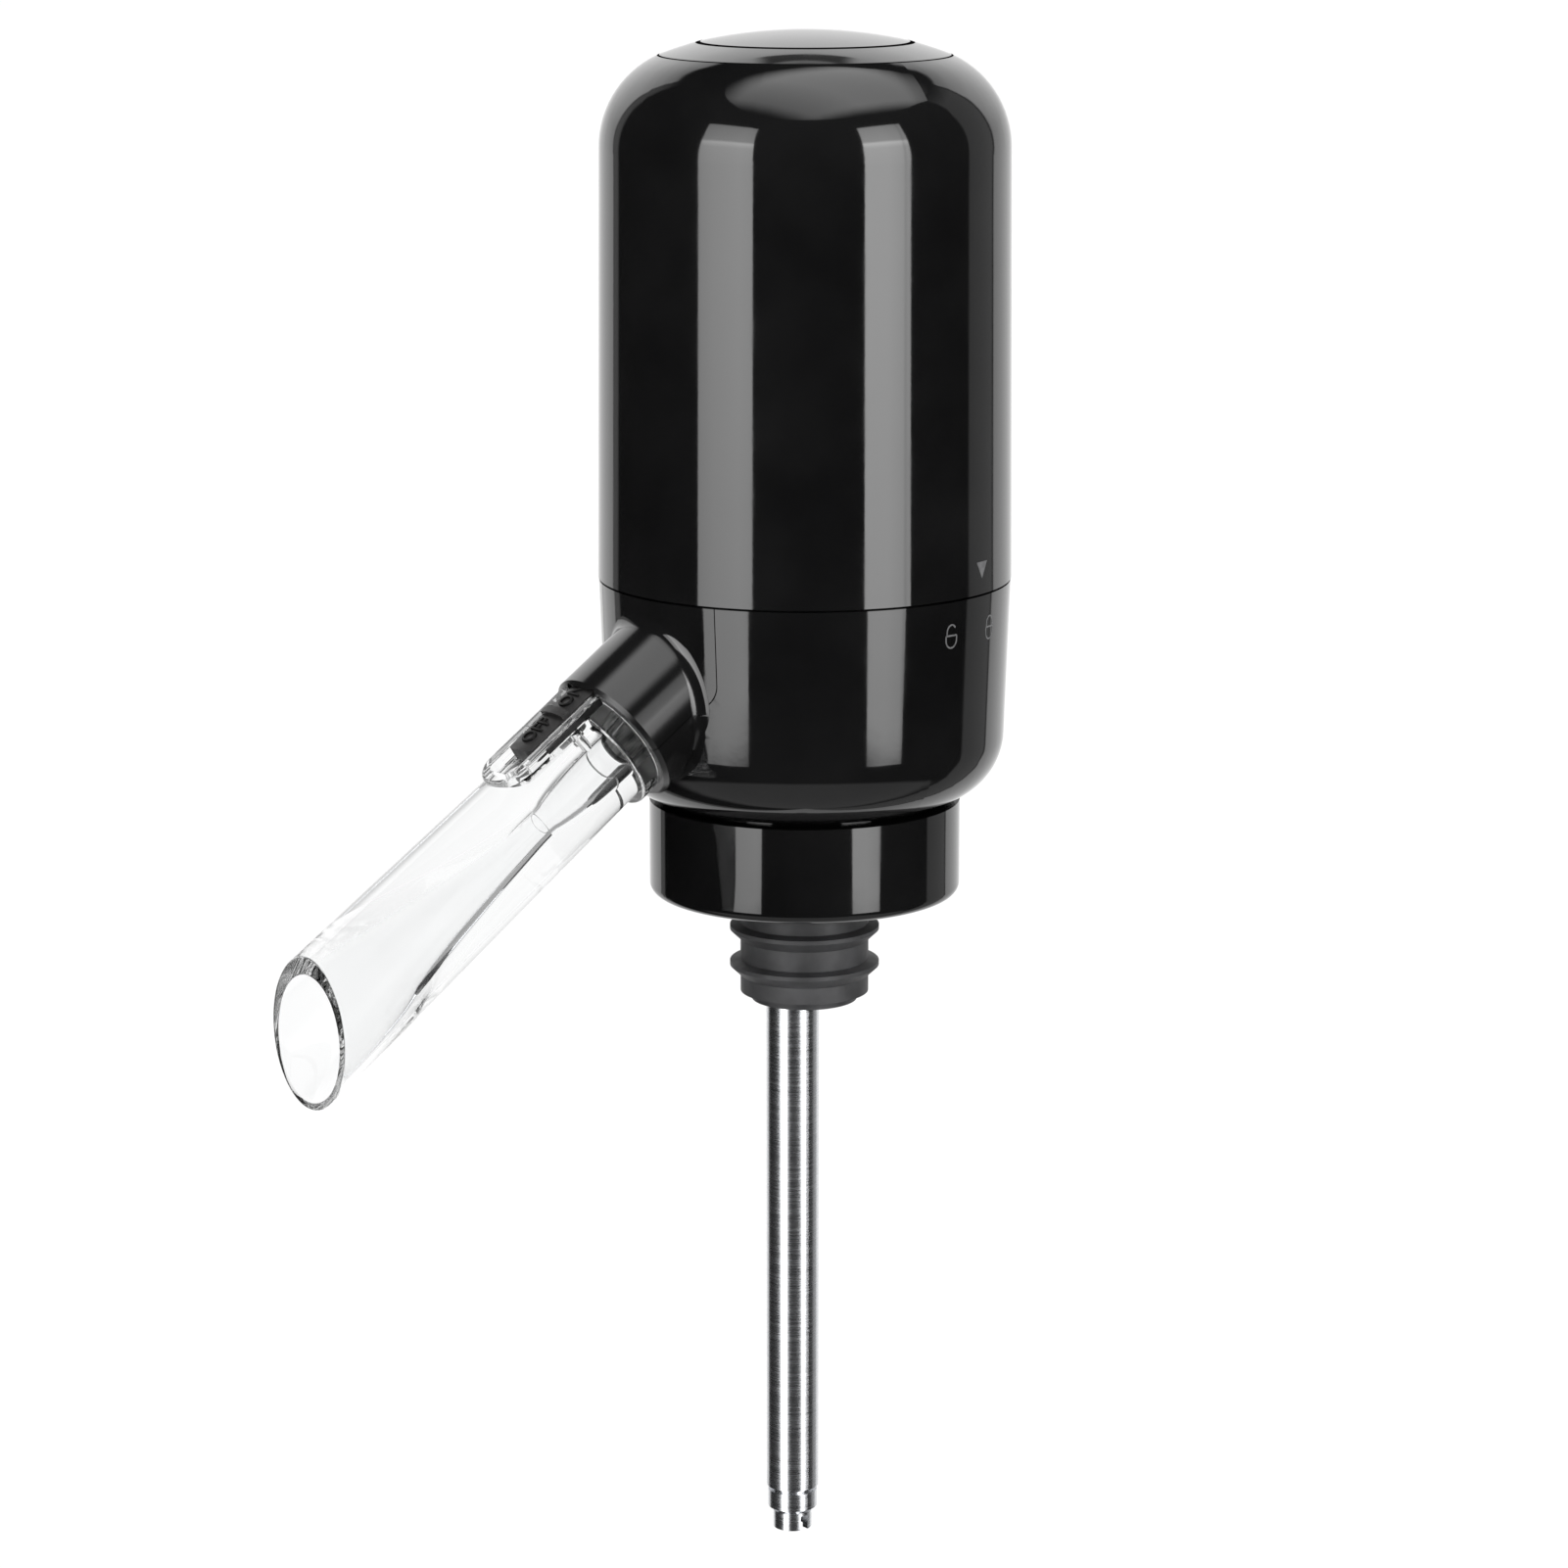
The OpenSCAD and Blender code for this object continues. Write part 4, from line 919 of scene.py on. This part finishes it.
def raisedOutline(name, outline, v0, v1, edge=0, steps=5, leastMitre=0.4):
    # an upright wall over an outline, with a rounded top edge
    rows = [(v0, 0), (v1 - edge, 0)]
    if edge:
        for a in quarter(steps)[1:]:
            rows.append((v1 - edge + edge * math.sin(a), edge * (1 - math.cos(a))))
    count = len(outline)
    inward = []
    for i in range(count):
        before, here, after = (Vector(outline[(i + d) % count]) for d in (-1, 0, 1))
        a, b = (here - before).normalized(), (after - here).normalized()
        n = (Vector((-a.y, a.x)) + Vector((-b.y, b.x))).normalized()
        inward.append(n / max(leastMitre, n.dot(Vector((-a.y, a.x)))))
    points = []
    for v, inset in rows:
        for (x, u), n in zip(outline, inward):
            points.append(spoutPoint(u + n.y * inset, x + n.x * inset, v))
    faces = ringFaces(len(rows), count, False)
    faces.append(tuple(range(count)))
    faces.append(tuple((len(rows) - 1) * count + j for j in range(count)))
    return newMesh(name, points, faces)


def cutAndJoin(piece, tools):
    for mesh, operation in tools:
        tool = newObject("tool", mesh)
        change = piece.modifiers.new("change", "BOOLEAN")
        change.object = tool
        change.operation = operation
        change.solver = "EXACT"
        shaped = shapedMesh(piece)
        piece.modifiers.clear()
        piece.data = shaped
        bpy.data.objects.remove(tool)


def makeSpout(s):
    mesh = meshFromRows("clearSpout", spoutRows(s), True)
    piece = newPiece("clearSpout", mesh, finishes["clearAcrylic"])
    railStart = s["ringU"][0] + s["railStart"]
    rail = roundedStrip(s["railHalf"], railStart, s["railEnd"], s["railHalf"], s["railSteps"])
    slot = roundedStrip(s["slotHalf"], s["slotStart"], s["slotEnd"], s["slotRound"], s["slotSteps"])
    groove = roundedStrip(s["lipHalf"], s["slotStart"], s["lipEnd"], s["lipRound"], s["lipSteps"])
    channel = stadium(s["channelHalf"], *s["channelU"], s["channelSteps"])
    holeU = s["channelU"][0]
    hole = stadium(s["airHoleR"], holeU, holeU + tiny, s["airHoleSteps"])
    above, into = s["cutPast"]
    floorV, channelV = s["slotFloor"], s["channelFloor"]
    cutAndJoin(piece, [
        (raisedOutline("rail", rail, s["railFoot"], s["railTop"], s["railRound"]), "UNION"),
        (raisedOutline("slot", slot, floorV, s["railTop"] + above), "DIFFERENCE"),
        (raisedOutline("groove", groove, floorV, s["lipTop"]), "DIFFERENCE"),
        (raisedOutline("channel", channel, channelV, floorV + into), "DIFFERENCE"),
        (raisedOutline("hole", hole, 0, channelV + into), "DIFFERENCE"),
    ])
    smoothSharp(piece.data, s["sharp"])
    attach(piece, "base")
    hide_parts("spout")
    return piece


clearSpout = makeSpout(spoutSet)
aimLights(lights, [floor, clearSpout], studioSet["lowLit"])
print("clear spout made:", len(clearSpout.data.polygons), "faces")

# rounded root of the boss

rootSet = {
    "bossR": 9.5,
    "cupR": 26.9,
    "cupTop": 32.8,
    "lean": 0.0348,
    "round": 2.2,
    "thin": 0.5,
    "fadeFrom": 84,  # degrees round the boss from its top
    "fadeTo": 116,
    "split": 90,
    "splitGap": 0.75,
    "lift": 0.012,
    "sink": (1.5, 0.1),  # depth of the hidden side, in balls and in mm
    "steps": 12,
    "tries": 6,  # to settle on the leaning wall
    "sliceTurn": 1.5,
    "leastSlices": 4,
    "sharp": 32,
}


def rootSlice(s, turn):
    # the ball that rolls between the boss and the cup, and its arc between them
    fade = min(1, max(0, (abs(turn) - s["fadeFrom"]) / (s["fadeTo"] - s["fadeFrom"])))
    ball = s["thin"] + (s["round"] - s["thin"]) * (0.5 + 0.5 * math.cos(math.pi * fade))
    a = math.radians(turn)
    far = s["bossR"] + ball
    x, v = far * math.sin(a), far * math.cos(a)
    cupR = s["cupR"]
    for i in range(s["tries"]):
        u = (math.sqrt((cupR + ball) ** 2 - x * x) - v * math.sin(slope)) / math.cos(slope)
        centre = spoutPoint(u, x, v) / mm
        cupR = s["cupR"] - s["lean"] * (s["cupTop"] - centre.z)
    onBoss = spoutPoint(u, x * s["bossR"] / far, v * s["bossR"] / far) / mm
    toBoss = (onBoss - centre).normalized()
    toCup = Vector((-centre.x, -centre.y, -s["lean"] * cupR)).normalized()
    reach = ball - s["lift"]
    shares = [i / s["steps"] for i in range(s["steps"] + 1)]
    row = [(centre + toBoss.slerp(toCup, share) * reach) * mm for share in shares]
    balls, more = s["sink"]
    deep = (centre + (toBoss + toCup).normalized() * (ball * balls + more)) * mm
    return row + [deep]


def makeRoot(s, name, start, end):
    count = max(s["leastSlices"], int(abs(end - start) / s["sliceTurn"]))
    rows = [rootSlice(s, start + (end - start) * i / count) for i in range(count + 1)]
    mesh = meshFromRows(name, rows, False)
    faceOutward(mesh, fill=True)
    smoothSharp(mesh, s["sharp"])
    piece = newPiece(name, mesh, finishes["blackGloss"])
    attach(piece, "base")


saddleTurn = rootSet["split"] - rootSet["splitGap"]
makeRoot(rootSet, "saddleRoot", -saddleTurn, saddleTurn)
makeRoot(rootSet, "cupRootRight", rootSet["split"], rootSet["fadeTo"])
makeRoot(rootSet, "cupRootLeft", -rootSet["fadeTo"], -rootSet["split"])
print("boss root rounded")

# raised words on the slider

wordSet = {
    "words": {"OFF": 46.3, "ON": 39.6},  # middle of each word along the spout
    "size": 3.1,
    "squeeze": 0.82,
    "top": 8.65,
    "crownR": 9,
    "thick": 0.2,
    "edge": 0.06,
    "edgeSteps": 1,
    "sharp": 40,
}


def makeWord(word, u, s):
    data = bpy.data.curves.new("word" + word, "FONT")
    data.body = word
    data.size = s["size"] * mm
    data.align_x = "CENTER"
    data.align_y = "CENTER"
    data.extrude = s["thick"] * mm
    data.bevel_depth = s["edge"] * mm
    data.bevel_resolution = s["edgeSteps"]
    shape = newObject("shape", data)
    mesh = shapedMesh(shape)
    bpy.data.objects.remove(shape)
    for point in mesh.vertices:
        along, across, lift = point.co / mm
        drop = s["crownR"] - math.sqrt(s["crownR"] ** 2 - across ** 2)
        point.co = spoutPoint(u - along * s["squeeze"], -across, s["top"] + lift - drop)
    piece = newPiece("sliderWord" + word, mesh, finishes["wordDark"])
    smoothSharp(mesh, s["sharp"])
    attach(piece, "air_switch")


for word, u in wordSet["words"].items():
    makeWord(word, u, wordSet)
print("slider words made")

# printed marks on the barrel and the cup

markSet = {
    "seam": 32.8,
    "barrelR": 27.0,
    "barrelDraft": 0.5,
    "cupR": 26.9,
    "cupDraft": 1.995,
    "lift": 0.012,
    "depth": 0.03,
    "line": 0.21,
    "triangle": {
        "angle": 18.2, "height": 3.4, "width": 2.5, "tall": 2.2, "columns": 8, "steps": 6,
    },
    "openLock": {"angle": 5.4, "height": -4.4},
    "shutLock": {"angle": 23.5, "height": -4.4},
    "lock": {
        "width": 1.9,
        "tall": 3.0,
        "bar": 0.1,  # height of the line between body and shackle
        "below": 0.55,
        "above": 0.45,
        "shackle": 0.42,  # half its width, as a share of the body's
        "steps": 16,
        "openSteps": 13,
    },
}


def onHousing(s, angle, along, height):
    barrel, cup = (s["barrelR"], s["barrelDraft"]), (s["cupR"], s["cupDraft"])
    r, draft = barrel if height > 0 else cup
    r -= abs(height) * math.tan(math.radians(draft))
    a = math.radians(angle) + along / r
    return r, a


def stroke(points, width):
    # left and right edges of a line of the given width
    left, right = [], []
    for i, here in enumerate(points):
        before = points[max(0, i - 1)]
        after = points[min(len(points) - 1, i + 1)]
        d = (Vector(after) - Vector(before)).normalized()
        n = Vector((-d.y, d.x)) * width / 2
        left.append(Vector(here) + n)
        right.append(Vector(here) - n)
    return left, right


def printMark(name, s, place, strokes, body):
    points, faces = [], []
    outer, inner = s["lift"], s["lift"] - s["depth"]
    for left, right in strokes:
        count = len(left)
        a, b, c, d = (len(points) + k * count for k in range(4))
        for edge, lift in ((left, outer), (right, outer), (left, inner), (right, inner)):
            for p in edge:
                height = place["height"] + p.y
                r, turn = onHousing(s, place["angle"], p.x, height)
                r += lift
                spot = Vector((r * math.cos(turn), r * math.sin(turn), s["seam"] + height))
                points.append(spot * mm)
        for i in range(count - 1):
            j = i + 1
            faces += [
                (a + i, b + i, b + j, a + j), (c + i, c + j, d + j, d + i),
                (a + i, a + j, c + j, c + i), (b + i, d + i, d + j, b + j),
            ]
        for i in (0, count - 1):
            faces.append((a + i, c + i, d + i, b + i))
    piece = newPiece(name, newMesh(name, points, faces), finishes["printInk"])
    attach(piece, body)


def triangleStrokes(s):
    columns, steps = s["columns"], s["steps"]

    def edge(share):
        shares = [i / steps for i in range(steps + 1)]
        half = s["width"] * (share - 0.5)
        return [Vector((half * (1 - down), s["tall"] * (0.5 - down))) for down in shares]

    return [(edge(k / columns), edge((k + 1) / columns)) for k in range(columns)]


def lockStrokes(s, isOpen):
    lock = s["lock"]
    half, tall, bar, steps = lock["width"] / 2, lock["tall"] / 2, lock["bar"], lock["steps"]
    below, above, reach = lock["below"], lock["above"], lock["width"] * lock["shackle"]
    lower, upper = [], []
    for i in range(steps + 1):
        a = math.pi + math.pi * i / steps
        lower.append((half * math.cos(a), bar - below + (tall - below + bar) * math.sin(a)))
    for i in range((lock["openSteps"] if isOpen else steps) + 1):
        a = math.pi - math.pi * i / steps
        upper.append((reach * math.cos(a), bar + above + (tall - above - bar) * math.sin(a)))
    body = [(-half, bar)] + lower + [(half, bar)]
    shackle = [(-reach, bar)] + upper + ([] if isOpen else [(reach, bar)])
    cross = [(-half, bar), (0, bar), (half, bar)]
    return [stroke(line, s["line"]) for line in (body, shackle, cross)]


pointer = markSet["triangle"]
printMark("lockPointer", markSet, pointer, triangleStrokes(pointer), "barrel")
printMark("openLockMark", markSet, markSet["openLock"], lockStrokes(markSet, True), "base")
printMark("shutLockMark", markSet, markSet["shutLock"], lockStrokes(markSet, False), "base")
print("printed marks made")
